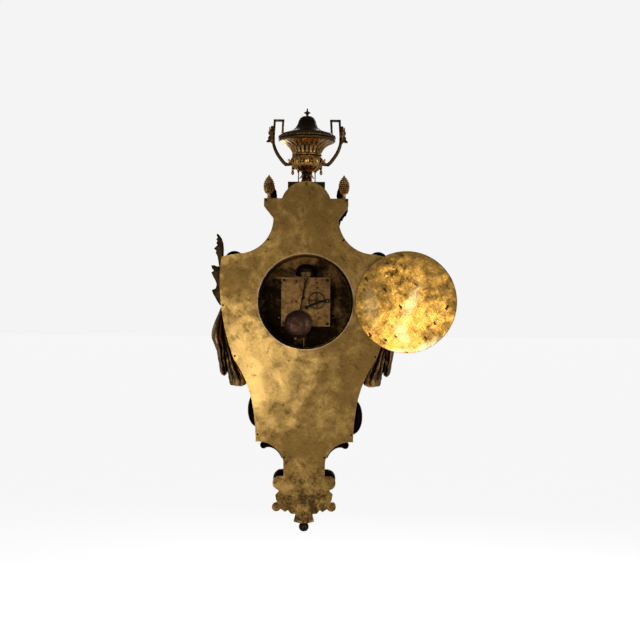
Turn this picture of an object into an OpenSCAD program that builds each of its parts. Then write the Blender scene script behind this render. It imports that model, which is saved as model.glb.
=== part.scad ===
// Cartel clock: cast case with a round back door and a two-train movement.
// Everything is drawn about the dial's axis and then lowered, so the origin is the mouth of the hanging hole.
// +Z is up, the back plate's rear face is y = 0 and the dial looks along -Y.

/* [Hanging] */
// Height of the hanging hole above the dial's axis
hang_up = 217.7; // [214:0.1:219]
// Radius of the hanging hole
hang_r = 2.5; // [2:0.1:3]

/* [Back plate] */
// Thickness of the sheet brass
back_plate_t = 2; // [1.5:0.1:3]
// Radius of the round opening
opening_r = 88.4; // [84:0.1:92]
// Top of the arch above the dial's axis
arch_top = 222.6; // [220:0.1:228]
// Radius of the arch
arch_r = 47.4; // [40:0.1:55]
// Height of the flat shoulders beside the arch
shoulder_up = 190.6; // [185:0.1:200]
// Half-width across the shoulders
pedestal_half = 77.9; // [70:0.1:85]
// Height of the shoulders' upright ends
pedestal_h = 14.8; // [10:0.1:20]
// Half-width of the waist below the shoulders
waist_half = 60.3; // [55:0.1:66]
// Height of the waist
waist_up = 153.6; // [145:0.1:160]
// Radius of the hollow between waist and body
cove_r = 65.5; // [60:0.1:70]
// Half-width at the body's upper corners
corner_half = 155.4; // [150:0.1:162]
// Height of the body's upper corners
corner_up = 82.3; // [76:0.1:86]
// Half-width where the flank turns in
hip_half = 131.2; // [124:0.1:138]
// Depth of that turn below the dial's axis
hip_down = 107.3; // [100:0.1:115]
// Half-width at the lower corners
foot_half = 89.9; // [86:0.1:96]
// Depth of the lower corners below the dial's axis
foot_down = 255.3; // [248:0.1:262]
// Radius of the lower hollows
scallop_r = 48.1; // [44:0.1:52]
// Half-width of the neck above the leaf
neck_half = 38; // [34:0.1:42]
// Depth of the neck below the dial's axis
neck_down = 321; // [316:0.5:330]
// Half-width of the leaf terminal
leaf_half = 58.3; // [50:0.1:66]
// Height of the leaf terminal, down to the ball's centre
leaf_drop = 96; // [85:0.5:110]
// Radius of the ball at the bottom
ball_r = 9.3; // [7:0.1:12]
// Depth of the cast leaf and ball behind the plate
leaf_depth = 16; // [12:0.5:24]

/* [Case] */
// Length of the side band
band_depth = 56; // [50:0.5:62]
// Wall of the side band
band_wall = 5; // [4:0.1:7]
// Set-back of the band from the plate's edge
band_inset = 1.2; // [0.8:0.1:2]
// Thickness of the front panel
panel_t = 6; // [4:0.1:8]
// Height of the raised border on the front panel
border_h = 2; // [1:0.1:4]
// Width of the raised border
border_w = 8; // [5:0.5:12]
// Case depth at the neck, where the front slopes back
low_depth = 34; // [28:0.5:45]
// Radius of an edge screw's shank
edge_screw_r = 1; // [0.8:0.1:1.5]
// Length of an edge screw
edge_screw_l = 10; // [6:0.5:14]

/* [Drum and dial] */
// Wall of the sheet drum
drum_wall = 1.9; // [1.2:0.1:3]
// Thickness of the dial plate
dial_plate_t = 1.5; // [1:0.1:2.5]
// Thickness of the enamel dial
dial_t = 2; // [1.5:0.1:3]
// Width of the lip that the dial plate sits against
seat_lip = 4.4; // [3:0.1:6]
// Height of the bezel seat in front of the dial plate
seat_h = 8; // [7:0.1:10]
// Outer radius of the bezel seat
seat_r = 98.5; // [96:0.1:102]
// Height of the glazed bezel ring
bezel_h = 11.5; // [9:0.1:14]
// Rise of the domed glass
glass_rise = 7; // [5:0.1:9]
// Thickness of the glass
glass_t = 1.6; // [1.2:0.1:2.2]
// Reach of the minute hand
minute_len = 68; // [60:0.5:74]
// Reach of the hour hand
hour_len = 45; // [38:0.5:52]
// Minute hand's angle from twelve
minute_at = 54; // [0:1:359]
// Hour hand's angle from twelve
hour_at = 304.5; // [0:0.5:359.5]

/* [Back door] */
// Radius of the door
door_r = 93; // [91:0.1:95]
// Sheet thickness of the door
door_t = 1; // [0.8:0.1:1.5]
// Dish of the door inside its flat edge
door_dish = 0.6; // [0.4:0.1:1.5]
// Distance of the hinge from the dial's axis
door_hinge_x = 90.5; // [90:0.1:92]
// Height of the hinge pin behind the plate
door_hinge_y = 2; // [1.9:0.05:2.6]
// Height of the hinge's middle below the dial's axis
door_hinge_drop = 6.5; // [0:0.5:12]
// Length of the hinge
door_hinge_l = 30; // [24:0.5:40]
// Radius of the hinge knuckles
knuckle_r = 1.7; // [1.5:0.05:1.8]
// Radius of the hinge pins
hinge_pin_r = 0.8; // [0.6:0.05:1]
// Angle at which the door stands open
door_open = 168; // [0:1:178]
// Distance of the latch from the dial's axis
latch_x = 79; // [77:0.1:79.5]
// Reach of the latch's nose
latch_reach = 6.2; // [5.8:0.1:6.6]
// Angle at which the latch is left, from pointing outward
latch_at = 62; // [0:1:90]

/* [Movement] */
// Distance of the movement from the back plate's rear face
movement_in = 35; // [34:0.5:38]
// Half-width of the square movement plates
mv_half = 46; // [45:0.5:50]
// Thickness of the movement plates
mv_plate_t = 2.5; // [2:0.1:3]
// Distance between the movement plates
mv_gap = 28.5; // [28:0.1:31]
// Space for the motion work
motion_gap = 8.5; // [8:0.1:10]
// Distance of the pillars from the middle, each way
pillar_at = 41; // [40:0.1:42]
// Radius of the pillars
pillar_r = 3.2; // [2.8:0.1:3.6]
// Radius of the train arbors
arbor_r = 1; // [0.8:0.05:1]
// Running clearance of pivots and hinge pins
run_gap = 0.05; // [0.03:0.01:0.08]
// Barrel's distance to the side of the middle
barrel_x = 24; // [23:0.1:25]
// Barrel's distance below the middle
barrel_down = 21; // [20:0.1:22]
// Radius of the barrel drums
barrel_r = 19.5; // [17:0.1:19.8]
// Radius of the winding arbors
winder_r = 3; // [2.5:0.1:3.2]
// Side of the winding squares
square_w = 4; // [3.4:0.1:4.2]
// Tip radius of the escape wheel
escape_r = 8; // [7:0.1:8.2]
// Height of the pallet arbor above the dial's axis
pallet_up = 43; // [42.6:0.1:43.2]
// Radius of the count wheel
count_r = 17; // [15:0.1:18]
// Length of the crutch
crutch_l = 38; // [30:0.5:40]
// Radius of the bell
bell_r = 20; // [17:0.1:20.2]
// Height of the bell's mouth above the dial's axis
bell_up = 50; // [49.5:0.1:54]
// Height of the bell
bell_h = 22; // [18:0.1:24]

/* [Pendulum] */
// Distance of the pendulum's plane from the plate's rear face
pendulum_in = 20; // [19:0.1:21]
// Distance from the suspension to the bob's centre
pendulum_l = 85.6; // [80:0.1:88]
// Radius of the bob
bob_r = 25.5; // [22:0.1:28]
// Thickness of the bob
bob_t = 14; // [10:0.1:15]
// Radius of the pendulum rod
rod_r = 1.2; // [0.9:0.05:1.5]
// Angle at which the pendulum hangs, from upright
pendulum_at = 9.5; // [0:0.1:9.5]

/* [Urn] */
// Distance of the urn's axis from the plate's rear face
urn_in = 54; // [52:0.5:58]
// Half-width of the plinth
plinth_half = 34.6; // [30:0.1:40]
// Depth of the plinth
plinth_depth = 76; // [70:0.5:90]
// Thickness of the plinth over the arch
plinth_over = 2.2; // [1.5:0.1:4]
// Radius of the urn's rim
rim_r = 55; // [50:0.1:56]
// Radius of the urn's lower bulb
bulb_r = 31.3; // [28:0.1:34]
// Radius of the urn's stem
stem_r = 6.7; // [5.5:0.1:8]
// Wall of the urn
urn_wall = 2.6; // [2:0.1:3.5]
// Radius of the rod that holds the urn together
tie_r = 1.5; // [1.2:0.1:2]
// Half-width over the handles' uprights
handle_half = 63.2; // [60:0.1:68]
// Height of the handles above the rim
handle_up = 30.6; // [24:0.1:36]
// Width of the handles' bars
handle_bar = 3.4; // [2.6:0.1:4.5]
// Thickness of the handles, front to back
handle_t = 6; // [4:0.1:9]

/* [Ornament] */
// Distance of the pinecones from the middle
cone_x = 70.5; // [68:0.1:71]
// Distance of the pinecones from the plate's rear face
cone_in = 33; // [25:0.5:40]
// Radius of the pinecones
cone_r = 9.2; // [7:0.1:10]
// Height of the pinecones over the shoulders
cone_h = 49; // [42:0.1:56]
// Radius of the laurel garlands
garland_r = 7; // [5:0.1:9]
// Radius of the shoulder volutes
volute_r = 17; // [14:0.1:17.5]
// Thickness of the volutes and scrolls
scroll_t = 14; // [8:0.5:20]
// Thickness of the leaf sprays
spray_t = 6; // [3:0.1:9]
// Distance of the cast drapes' middle from the plate's rear face
drape_in = 40; // [36:0.5:44]
// Half-depth of the cast drapes
drape_deep = 20; // [14:0.5:22]

/* [Hidden] */
$fn = 64;

// Colours
cast_gold = [0.42, 0.30, 0.13];
sheet_gold = [0.55, 0.42, 0.18];
bright_gold = [0.70, 0.52, 0.20];
door_gold = [0.74, 0.55, 0.20];
dull_brass = [0.60, 0.45, 0.20];
steel_dark = [0.16, 0.15, 0.15];
bell_bronze = [0.52, 0.42, 0.25];
bob_brown = [0.33, 0.19, 0.10];
enamel_white = [0.93, 0.92, 0.88];
glass_clear = [0.90, 0.95, 0.95, 0.2];

// Levels along Y
band_front = -(back_plate_t + band_depth);
panel_front = band_front - panel_t;
border_front = panel_front - border_h;
mv_rear = -movement_in;
mv_in_rear = mv_rear - mv_plate_t;
mv_in_front = mv_in_rear - mv_gap;
mv_front = mv_in_front - mv_plate_t;
dial_plate_rear = mv_front - motion_gap;
dial_plate_front = dial_plate_rear - dial_plate_t;
dial_front = dial_plate_front - dial_t;
seat_front = dial_plate_front - seat_h;
bezel_rear = seat_front - 0.3;
bezel_front = bezel_rear - bezel_h;
pendulum_y = -pendulum_in;
urn_y = -urn_in;

// Drum and dial radii
drum_out = opening_r - 0.1;
drum_in = drum_out - drum_wall;
seat_in = drum_in - seat_lip;
bezel_r = seat_r + 1.5;
bezel_in = seat_in - 2;
glass_r = bezel_in + 3.2;

// Trains: teeth and modules
great_n = 84;
great_m = 0.5;
second_pin_n = 12;
going_second_n = 72;
going_second_m = 0.5;
centre_pin_n = 12;
centre_n = 72;
centre_m = 0.45;
third_pin_n = 10;
third_n = 70;
third_m = 0.4;
escape_pin_n = 10;
strike_second_n = 72;
strike_second_m = 0.45;
pin_pin_n = 10;
pin_n = 60;
pin_m = 0.4;
lock_pin_n = 10;
lock_n = 54;
lock_m = 0.35;
fly_pin_n = 10;
cannon_n = 14;
minute_n = 42;
minute_m = 0.45;
minute_pin_n = 12;
hour_n = 48;
hour_m = minute_m * (cannon_n + minute_n) / (minute_pin_n + hour_n);

function polar(r, a) = r * [cos(a), sin(a)];
function heading(p, q) = atan2(q[1] - p[1], q[0] - p[0]);
function meet(p, rp, q, rq, side) =
    let (d = norm(q - p), a = (rp * rp - rq * rq + d * d) / (2 * d))
    let (h = sqrt(rp * rp - a * a), u = (q - p) / d)
    p + a * u + side * h * [-u[1], u[0]];

// Arbor places about the dial's axis
centre_p = [0, 0];
going_p = [barrel_x, -barrel_down];
strike_p = [-barrel_x, -barrel_down];
going_second_p = meet(centre_p, going_second_m * (going_second_n + centre_pin_n) / 2,
    going_p, great_m * (great_n + second_pin_n) / 2, 1);
strike_second_p = [-going_second_p[0], going_second_p[1]];
third_p = polar(centre_m * (centre_n + third_pin_n) / 2, 69);
escape_d = third_m * (third_n + escape_pin_n) / 2;
escape_p = [0, third_p[1] + sqrt(escape_d * escape_d - third_p[0] * third_p[0])];
pallet_p = [0, pallet_up];
pin_p = strike_second_p + polar(strike_second_m * (strike_second_n + pin_pin_n) / 2, 75);
lock_p = pin_p + polar(pin_m * (pin_n + lock_pin_n) / 2, 165);
fly_p = lock_p + polar(lock_m * (lock_n + fly_pin_n) / 2, 70);
hammer_p = [-30, mv_half - 4];
detent_p = [-41, 2];
minute_p = [0, minute_m * (cannon_n + minute_n) / 2];
bell_y = mv_in_front + 10.5;
arbor_places = [going_second_p, strike_second_p, third_p, escape_p, pin_p, lock_p, fly_p, hammer_p];

// Outline of the back plate, right half, from the top downward
arch_c = [0, arch_top - arch_r];
arch_end = asin((shoulder_up - arch_c[1]) / arch_r);
cove_c = [waist_half + cove_r, waist_up];
scallop_c = [foot_half - 4.8, -foot_down - 51.7];
flank = [[corner_half, corner_up], [corner_half + 9.6, corner_up - 62.3], [hip_half + 20.8, 52.3 - hip_down],
    [hip_half, -hip_down]];
haunch = [[hip_half, -hip_down], [hip_half - 29.2, -hip_down - 42.7], [foot_half + 2.1, 65.3 - foot_down],
    [foot_half, -foot_down]];
function arc_pts(c, r, a0, a1, n) = [for (i = [0:n]) c + polar(r, a0 + (a1 - a0) * i / n)];
function bez(p, t) =
    pow(1 - t, 3) * p[0] + 3 * pow(1 - t, 2) * t * p[1] + 3 * (1 - t) * t * t * p[2] + pow(t, 3) * p[3];
function bez_pts(p, n) = [for (i = [0:n]) bez(p, i / n)];
function bez_in(p, t, d) =
    let (v = bez(p, t + 0.01) - bez(p, t - 0.01), u = v / norm(v)) bez(p, t) + d * [u[1], -u[0]];
function flipped(p, last) = [for (i = [last:-1:1]) [-p[i][0], p[i][1]]];
body_right = concat(
    arc_pts(arch_c, arch_r, 90, arch_end, 18),
    [[pedestal_half, shoulder_up], [pedestal_half, shoulder_up - pedestal_h]],
    arc_pts(cove_c, cove_r, 180, 270, 20),
    bez_pts(flank, 18),
    [for (i = [1:16]) bez(haunch, i / 16)],
    arc_pts(scallop_c, scallop_r, 84, 165, 14),
    [[neck_half, -neck_down]]
);
leaf_k = [leaf_half / 58.3, leaf_drop / 96];
function leaf_pt(x, z) = [x * leaf_k[0], z * leaf_k[1] - neck_down];
leaf_right = concat(
    [for (a = [115:-19:-75]) leaf_pt(45.3 + 13 * cos(a), 13 * sin(a) - 13.9)],
    [leaf_pt(46, -29.5), leaf_pt(53, -36), leaf_pt(51, -46), leaf_pt(48, -49.6)],
    [for (a = [75:-25:-125]) leaf_pt(50.9 + 8.3 * cos(a), 8.3 * sin(a) - 58.3)],
    [leaf_pt(42.6, -62), leaf_pt(34.8, -67.5), leaf_pt(29.6, -64), leaf_pt(24, -70.6), leaf_pt(15.2, -71.2),
        leaf_pt(18.9, -85.3), leaf_pt(8.9, -87.9)]
);
ball_up = -neck_down - leaf_drop;
slope_a = atan((-band_front - low_depth) / (neck_down - hip_down));
edge_screw_in = band_inset + band_wall / 2;
edge_screw_right = [
    [pedestal_half - edge_screw_in, shoulder_up - edge_screw_in],
    cove_c + polar(cove_r + edge_screw_in, 215),
    bez_in(flank, 0.46, edge_screw_in),
    bez_in(flank, 0.97, edge_screw_in),
    bez_in(haunch, 0.95, edge_screw_in),
    scallop_c + polar(scallop_r + edge_screw_in, 158)
];

module at_dial() translate([0, 0, -hang_up]) children();
module slab(y0, y1) translate([0, y1, 0]) rotate([90, 0, 0]) linear_extrude(y1 - y0) children();
module rod_y(p, r, y0, y1) translate([p[0], y1, p[1]]) rotate([90, 0, 0]) cylinder(r = r, h = y1 - y0);
module rod_z(x, y, r, z0, z1) translate([x, y, z0]) cylinder(r = r, h = z1 - z0);
module box(x0, x1, y0, y1, z0, z1) translate([x0, y0, z0]) cube([x1 - x0, y1 - y0, z1 - z0]);
module turned_y(p) translate([p[0], 0, p[1]]) rotate([90, 0, 0]) rotate_extrude() children();
module turned_z(x, y) translate([x, y, 0]) rotate_extrude() children();
module both_sides() {
    children();
    mirror([1, 0, 0]) children();
}
module body_2d(inset) offset(delta = -inset)
    polygon(concat(body_right, flipped(body_right, len(body_right) - 1)));
module plate_2d() polygon(concat(body_right, leaf_right, flipped(concat(body_right, leaf_right),
    len(body_right) + len(leaf_right) - 1)));
module leaf_2d() polygon(concat([[neck_half, -neck_down]], leaf_right,
    [for (i = [len(leaf_right) - 1:-1:0]) [-leaf_right[i][0], leaf_right[i][1]]],
    [[-neck_half, -neck_down]]));

// Sloped lower front: local y = 0 is the panel's rear face, local z runs up the slope
module on_slope() translate([0, band_front, -hip_down]) rotate([slope_a, 0, 0]) children();

// Gear teeth, thinned so that meshing pairs never touch
tooth_share = 0.78;
flank_a = 25;
function inv_deg(a) = tan(a) * 180 / PI - a;
function tooth_half(n, m, r) =
    let (rb = n * m / 2 * cos(flank_a))
    tooth_share * 90 / n + inv_deg(flank_a) - inv_deg(acos(min(1, rb / max(r, rb))));
function gear_pts(n, m, add, at) =
    let (rt = n * m / 2 + add * m, rr = n * m / 2 - 1.15 * m, rm = (rr + rt) / 2)
    [for (i = [0:n - 1], s = [[rr, -1], [rm, -1], [rt, -1], [rt, 1], [rm, 1], [rr, 1]])
        polar(s[0], at + 360 * i / n + s[1] * tooth_half(n, m, s[0]))];
function saw_pts(n, r, r0) =
    [for (i = [0:n - 1], s = [[r0, 0], [r, 0.08], [r, 0.2], [r0, 0.8]]) polar(s[0], 360 * (i + s[1]) / n)];
function sector_pts(r0, r1, a0, a1) = concat(arc_pts([0, 0], r1, a0, a1, 8), arc_pts([0, 0], r0, a1, a0, 4));
module flat_bore(r) circle(r = r / cos(15), $fn = 12);
module crossings(r0, r1, half) for (i = [0:3]) polygon(sector_pts(r0, r1, 90 * i + half, 90 * i + 90 - half));
module wheel(p, n, m, y0, y1, at, bore) translate([p[0], 0, p[1]]) slab(y0, y1) difference() {
    polygon(gear_pts(n, m, 0.7, at));
    crossings(bore + 2.2, n * m / 2 - 3 * m - 0.6, 9);
    flat_bore(bore + 0.03);
}
module pinion(p, n, m, y0, y1, at, bore) translate([p[0], 0, p[1]]) slab(y0, y1) difference() {
    polygon(gear_pts(n, m, 0.8, at));
    flat_bore(bore + 0.03);
}
module arbor(p, y0 = mv_front, y1 = mv_rear) rod_y(p, arbor_r, y0, y1);
function facing(p, q, n) = heading(p, q) + 180 + 180 / n;
function strip_pts(c, w) =
    let (k = len(c) - 1,
        t = [for (i = [0:k]) let (v = c[min(k, i + 1)] - c[max(0, i - 1)]) v / norm(v)],
        h = [for (i = [0:k]) w[0] + (w[1] - w[0]) * i / k])
    concat([for (i = [0:k]) c[i] + h[i] * [-t[i][1], t[i][0]]],
        [for (i = [k:-1:0]) c[i] - h[i] * [-t[i][1], t[i][0]]]);

// Skin over a list of equal rings
module loft(rings) {
    n = len(rings[0]);
    k = len(rings);
    polyhedron(
        points = [for (g = rings, v = g) v],
        faces = concat(
            [[for (j = [0:n - 1]) j]],
            [[for (j = [n - 1:-1:0]) (k - 1) * n + j]],
            [for (i = [0:k - 2], j = [0:n - 1], f = [0, 1])
                let (a = i * n + j, b = i * n + (j + 1) % n)
                f == 0 ? [a, a + n, b + n] : [a, b + n, b]]
        ),
        convexity = 6
    );
}

// Case
module screw_holes(y0, y1) both_sides() for (p = edge_screw_right) rod_y(p, edge_screw_r + 0.05, y0, y1);

module back_plate() color(sheet_gold) at_dial() difference() {
    slab(-back_plate_t, 0) plate_2d();
    rod_y([0, 0], opening_r, -back_plate_t - 1, 1);
    rod_y([0, hang_up], hang_r, -back_plate_t - 1, 1);
    screw_holes(-back_plate_t - 1, 1);
}

module case_band() color(cast_gold) at_dial() difference() {
    slab(band_front, -back_plate_t) body_2d(band_inset);
    slab(band_front - 1, -back_plate_t + 1) body_2d(band_inset + band_wall);
    on_slope() box(-200, 200, -60, 0, -300, 0);
    box(-8, 8, -back_plate_t - 14, -back_plate_t + 1, hang_up - 14, arch_top);
    screw_holes(-back_plate_t - edge_screw_l - 1, -back_plate_t + 1);
}

module border_2d() difference() {
    body_2d(band_inset);
    body_2d(band_inset + border_w);
}

module case_front() color(cast_gold) at_dial() difference() {
    union() {
        intersection() {
            union() {
                slab(panel_front, band_front) body_2d(band_inset);
                slab(border_front, panel_front) border_2d();
            }
            box(-200, 200, -120, 0, -hip_down, arch_top);
        }
        intersection() {
            slab(-120, -back_plate_t) body_2d(band_inset);
            on_slope() box(-200, 200, -panel_t, 0, -300, 0.9);
        }
        intersection() {
            slab(-120, -back_plate_t) border_2d();
            on_slope() box(-200, 200, -panel_t - border_h, -panel_t + 0.1, -300, 1.1);
        }
    }
    rod_y([0, 0], drum_out + 0.15, -120, 0);
}

module movement_drum() color(sheet_gold) at_dial() {
    difference() {
        rod_y([0, 0], drum_out, dial_plate_front, 0);
        rod_y([0, 0], drum_in, dial_plate_front - 1, 1);
    }
    difference() {
        intersection() {
            rod_y([0, 0], drum_in + 0.5, -5.2, -3.8);
            box(drum_in - 2.6, drum_in + 1, -6, -3, -15.5, -5.5);
        }
        box(0, drum_in - 2.6, -6, -3, -20, 0);
    }
}

module bezel_seat() color(bright_gold) at_dial() difference() {
    turned_y([0, 0]) polygon([[seat_in, -dial_plate_front], [seat_in, -seat_front],
        [seat_r - 1.5, -seat_front], [seat_r, -seat_front - 2], [seat_r, -seat_front - 7],
        [seat_r + 2, -seat_front - 11], [seat_r + 5, -panel_front + 3], [seat_r + 5, -panel_front],
        [drum_out + 0.15, -panel_front], [drum_out + 0.15, -dial_plate_front]]);
    for (a = [45:90:315]) rod_y(polar(seat_in + 2.2, a), 0.85, dial_plate_front - 4, dial_plate_front + 1);
}

module terminal_leaf() color(cast_gold) at_dial() {
    slab(-back_plate_t - leaf_depth, -back_plate_t) leaf_2d();
    translate([0, -back_plate_t - leaf_depth / 2, ball_up]) sphere(r = ball_r);
    both_sides() difference() {
        rod_y(leaf_pt(36, -9), 18, -back_plate_t - leaf_depth - 8, -back_plate_t - 6);
        box(0, neck_half - band_inset + 0.2, -60, 0, -neck_down - 0.2, 0);
    }
}

// Urn
plinth_top = arch_top - band_inset + plinth_over;
rim_top = 318;
bulb_low = [27.5, 259];
bulb_high = [bulb_r, 269.6];

module urn_plinth() color(cast_gold) at_dial() difference() {
    box(-plinth_half, plinth_half, urn_y - plinth_depth / 2, urn_y + plinth_depth / 2, shoulder_up + 4,
        plinth_top);
    rod_y(arch_c, arch_r - band_inset, panel_front, 0);
    box(-plinth_half - 1, plinth_half + 1, border_front, panel_front + 0.1, 0,
        arch_c[1] + arch_r - band_inset);
    rod_y([0, plinth_top - 6], 0.6, urn_y - plinth_depth / 2 - 1, urn_y - plinth_depth / 2 + 3);
}

module urn_foot() color(cast_gold) at_dial() {
    turned_z(0, urn_y) polygon([[tie_r + 0.1, plinth_top + 4], [0, plinth_top + 4], [0, plinth_top],
        [13.5, plinth_top], [13.5, plinth_top + 2.5], [stem_r + 3.4, 231.7], [stem_r + 0.8, 238],
        [stem_r, 243], [stem_r, 248], [stem_r + 2.5, 250], [11.5, 252], [tie_r + 0.1, 252]]);
    both_sides() rod_z(15.2, urn_y, 0.7, plinth_top, 252.2);
}

module urn_body() color(cast_gold) at_dial() {
    turned_z(0, urn_y) polygon([[tie_r + 0.1, 252], [14, 252], bulb_low, bulb_high, [26.7, 277],
        [28.3, 281.6], [36.5, 293.4], [43.2, 301], [50, 306.5], [rim_r - 1, 308.5], [rim_r, 311],
        [rim_r, 314], [rim_r - 3, rim_top], [34, rim_top], [34, 306], [36.5 - urn_wall - 3, 295],
        [28.3 - urn_wall - 1, 281.6], [26.7 - urn_wall, 277], [bulb_r - urn_wall - 1, 269.6], [24, 259.5],
        [14, 256], [tie_r + 0.1, 256]]);
    both_sides() {
        rod_z(26.2, urn_y, 1.9, 246, 259);
        translate([26.2, urn_y, 246]) sphere(r = 1.9);
    }
}

module urn_lid() color(cast_gold) at_dial() turned_z(0, urn_y) polygon([[tie_r + 0.1, 351.5], [3.6, 351.5],
    [9, 350], [14.5, 347], [18.2, 341], [20.4, 333.7], [21.5, 329], [27, 325.5], [36, 322.5], [42, 320],
    [42, rim_top], [33.7, rim_top], [33.7, 314], [30.5, 314], [30.5, 320], [18.5, 327], [17.5, 333.7],
    [15, 340.5], [11.5, 344.8], [tie_r + 0.1, 347]]);

module urn_finial() color(cast_gold) at_dial() {
    turned_z(0, urn_y) polygon([[0, plinth_top + 4], [tie_r, plinth_top + 4], [tie_r, 351.5], [3.4, 351.5],
        [2.6, 354.5], [4.4, 357], [5, 359.7], [4.4, 362.4], [2.4, 364.6], [2.6, 367], [0, 369]]);
    for (a = [0:90:270]) translate([0, urn_y, 359.7]) rotate([0, 0, a]) translate([4.6, 0, 0])
        sphere(r = 1.6);
}

handle_top = rim_top + handle_up;
handle_in = 45.3;
handle_curve = [[handle_half - handle_bar / 2, 311], [handle_half + 0.4, 285], [handle_half - 20, 262],
    [bulb_low[0] + 1, 261.5]];
module urn_handles() color(cast_gold) at_dial() both_sides() difference() {
    union() {
        slab(urn_y - handle_t / 2, urn_y + handle_t / 2) union() {
            translate([handle_in - handle_bar / 2, rim_top]) square([handle_bar, handle_up]);
            translate([handle_in - handle_bar / 2, handle_top - handle_bar])
                square([handle_half - handle_in + handle_bar / 2, handle_bar]);
            translate([handle_half - handle_bar, 310]) square([handle_bar, handle_top - 310]);
            polygon(strip_pts(bez_pts(handle_curve, 14), [handle_bar / 2, handle_bar / 2]));
        }
        slab(urn_y - handle_t / 2 - 1.5, urn_y + handle_t / 2 + 1.5) polygon([[handle_half - 1, 333],
            [handle_half + 5, 334], [handle_half + 4.4, 326], [handle_half + 9, 321],
            [handle_half + 7.4, 313], [handle_half + 11.8, 305], [handle_half + 4, 303],
            [handle_half - 1, 306]]);
    }
    translate([0, urn_y, bulb_low[1] - 5]) cylinder(h = bulb_high[1] - bulb_low[1] + 5,
        r1 = bulb_low[0] + 0.3 - 5 * (bulb_high[0] - bulb_low[0]) / (bulb_high[1] - bulb_low[1]),
        r2 = bulb_high[0] + 0.3);
}

// Cast ornament
cone_base = shoulder_up - band_inset;
module pinecones() color(cast_gold) at_dial()
    both_sides() turned_z(cone_x, -cone_in) polygon([[0, cone_base], [6.5, cone_base],
    [6.5, cone_base + 2.5], [3.6, cone_base + 5], [3.2, cone_base + 14], [5.5, cone_base + 17], [cone_r - 1.2,
    cone_base + 22], [cone_r, cone_base + 32], [cone_r - 1.6, cone_base + 38], [cone_r - 5, cone_base + 45],
    [0, cone_base + cone_h]]);

garland_path = [[61, 213], [61, 198], [54, 178], [48, 160], [54, 138], [68, 119], [86, 104], [104, 93]];
module laurel_garlands() color(cast_gold) at_dial() both_sides() loft([for (i = [0:len(garland_path) - 1])
    let (k = len(garland_path) - 1, v = garland_path[min(k, i + 1)] - garland_path[max(0, i - 1)])
    let (t = v / norm(v), r = garland_r * (i == 0 || i == k ? 0.55 : 1))
    [for (a = [0:36:324]) [garland_path[i][0] + r * cos(a) * t[1],
        border_front - 0.2 - garland_r + r * sin(a), garland_path[i][1] - r * cos(a) * t[0]]]]);

festoon_path = [for (t = [-1:0.125:1]) [100 * t, 49 * pow(abs(t), 1.6) - 54]];
module apron_rosette() color(cast_gold) at_dial() on_slope() {
    translate([0, -panel_t - 0.3 - garland_r, 0]) loft([for (i = [0:len(festoon_path) - 1])
        let (k = len(festoon_path) - 1, v = festoon_path[min(k, i + 1)] - festoon_path[max(0, i - 1)])
        let (t = v / norm(v), r = garland_r * (i == 0 || i == k ? 0.55 : 1))
        [for (a = [0:36:324]) [festoon_path[i][0] + r * cos(a) * t[1], r * sin(a),
            festoon_path[i][1] - r * cos(a) * t[0]]]]);
    rod_y([0, -100], 17, -panel_t - 9, -panel_t);
    slab(-panel_t - 7, -panel_t) polygon(oval([0, -145], 20, 40));
}

// Height, inner edge and outer edge of the drape at each level
drape_levels = [[-6, 156, 160], [-20, 154.3, 165], [-40, 151.2, 171], [-61, 146.3, 174.6], [-80, 140.6, 170],
    [-95, 135.8, 167], [-121, 124.8, 161], [-141, 114.4, 154], [-153, 109, 140], [-161, 114, 130]];
module drapes() color(cast_gold) at_dial() both_sides() loft([for (i = [len(drape_levels) - 1:-1:0])
    let (g = drape_levels[i], end = i == 0 || i == len(drape_levels) - 1 ? 0.5 : 1)
    [for (a = [0:30:330]) [(g[1] + g[2]) / 2 + (g[2] - g[1]) / 2 * cos(a),
        -drape_in + drape_deep * end * sin(a), g[0]]]]);

spray_low = [[157, -9], [165, -7.4], [181, 21.5], [172, 33], [182, 55.7], [177, 59.2], [182.6, 69.6]];
module leaf_sprays() color(cast_gold) at_dial() slab(border_front - spray_t, border_front) {
    polygon(concat(spray_low, [[170, 80], [177.5, 101.6], [171.4, 131.2], [160, 116], [158, 86], [151.5, 60],
        [149, 20]]));
    mirror([1, 0]) polygon(concat(spray_low, [[167, 79], [160.6, 86], [157, 80], [151.5, 60], [149, 20]]));
}

volute_c = [136.5, 82.5];
curl_r = 7.5;
curl_c = scallop_c + polar(scallop_r + band_inset - curl_r - 0.3, 105.7);
function oval(c, rx, rz) = [for (a = [0:12:348]) c + [rx * cos(a), rz * sin(a)]];
module scrolls() color(cast_gold) at_dial() both_sides() {
    rod_y(volute_c, volute_r, border_front - scroll_t, border_front);
    on_slope() slab(-panel_t - border_h - scroll_t, -panel_t - border_h)
        polygon(oval([84, hip_down - 216], 26.5, 34));
    rod_y(curl_c, curl_r, -back_plate_t - 26, -back_plate_t - 5);
}

// Dial and hands
foot_places = [for (a = [90, 210, 330]) polar(60, a)];
module dial_plate() color(sheet_gold) at_dial() difference() {
    rod_y([0, 0], drum_in - 0.3, dial_plate_front, dial_plate_rear);
    rod_y([0, 0], 5, dial_plate_front - 1, dial_plate_rear + 1);
    for (p = [going_p, strike_p]) rod_y(p, 4.4, dial_plate_front - 1, dial_plate_rear + 1);
    for (p = foot_places) rod_y(p, 1.05, dial_plate_front - 1, dial_plate_rear + 1);
    for (a = [45:90:315]) rod_y(polar(seat_in + 2.2, a), 0.85, dial_plate_front - 1, dial_plate_rear + 1);
}

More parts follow.
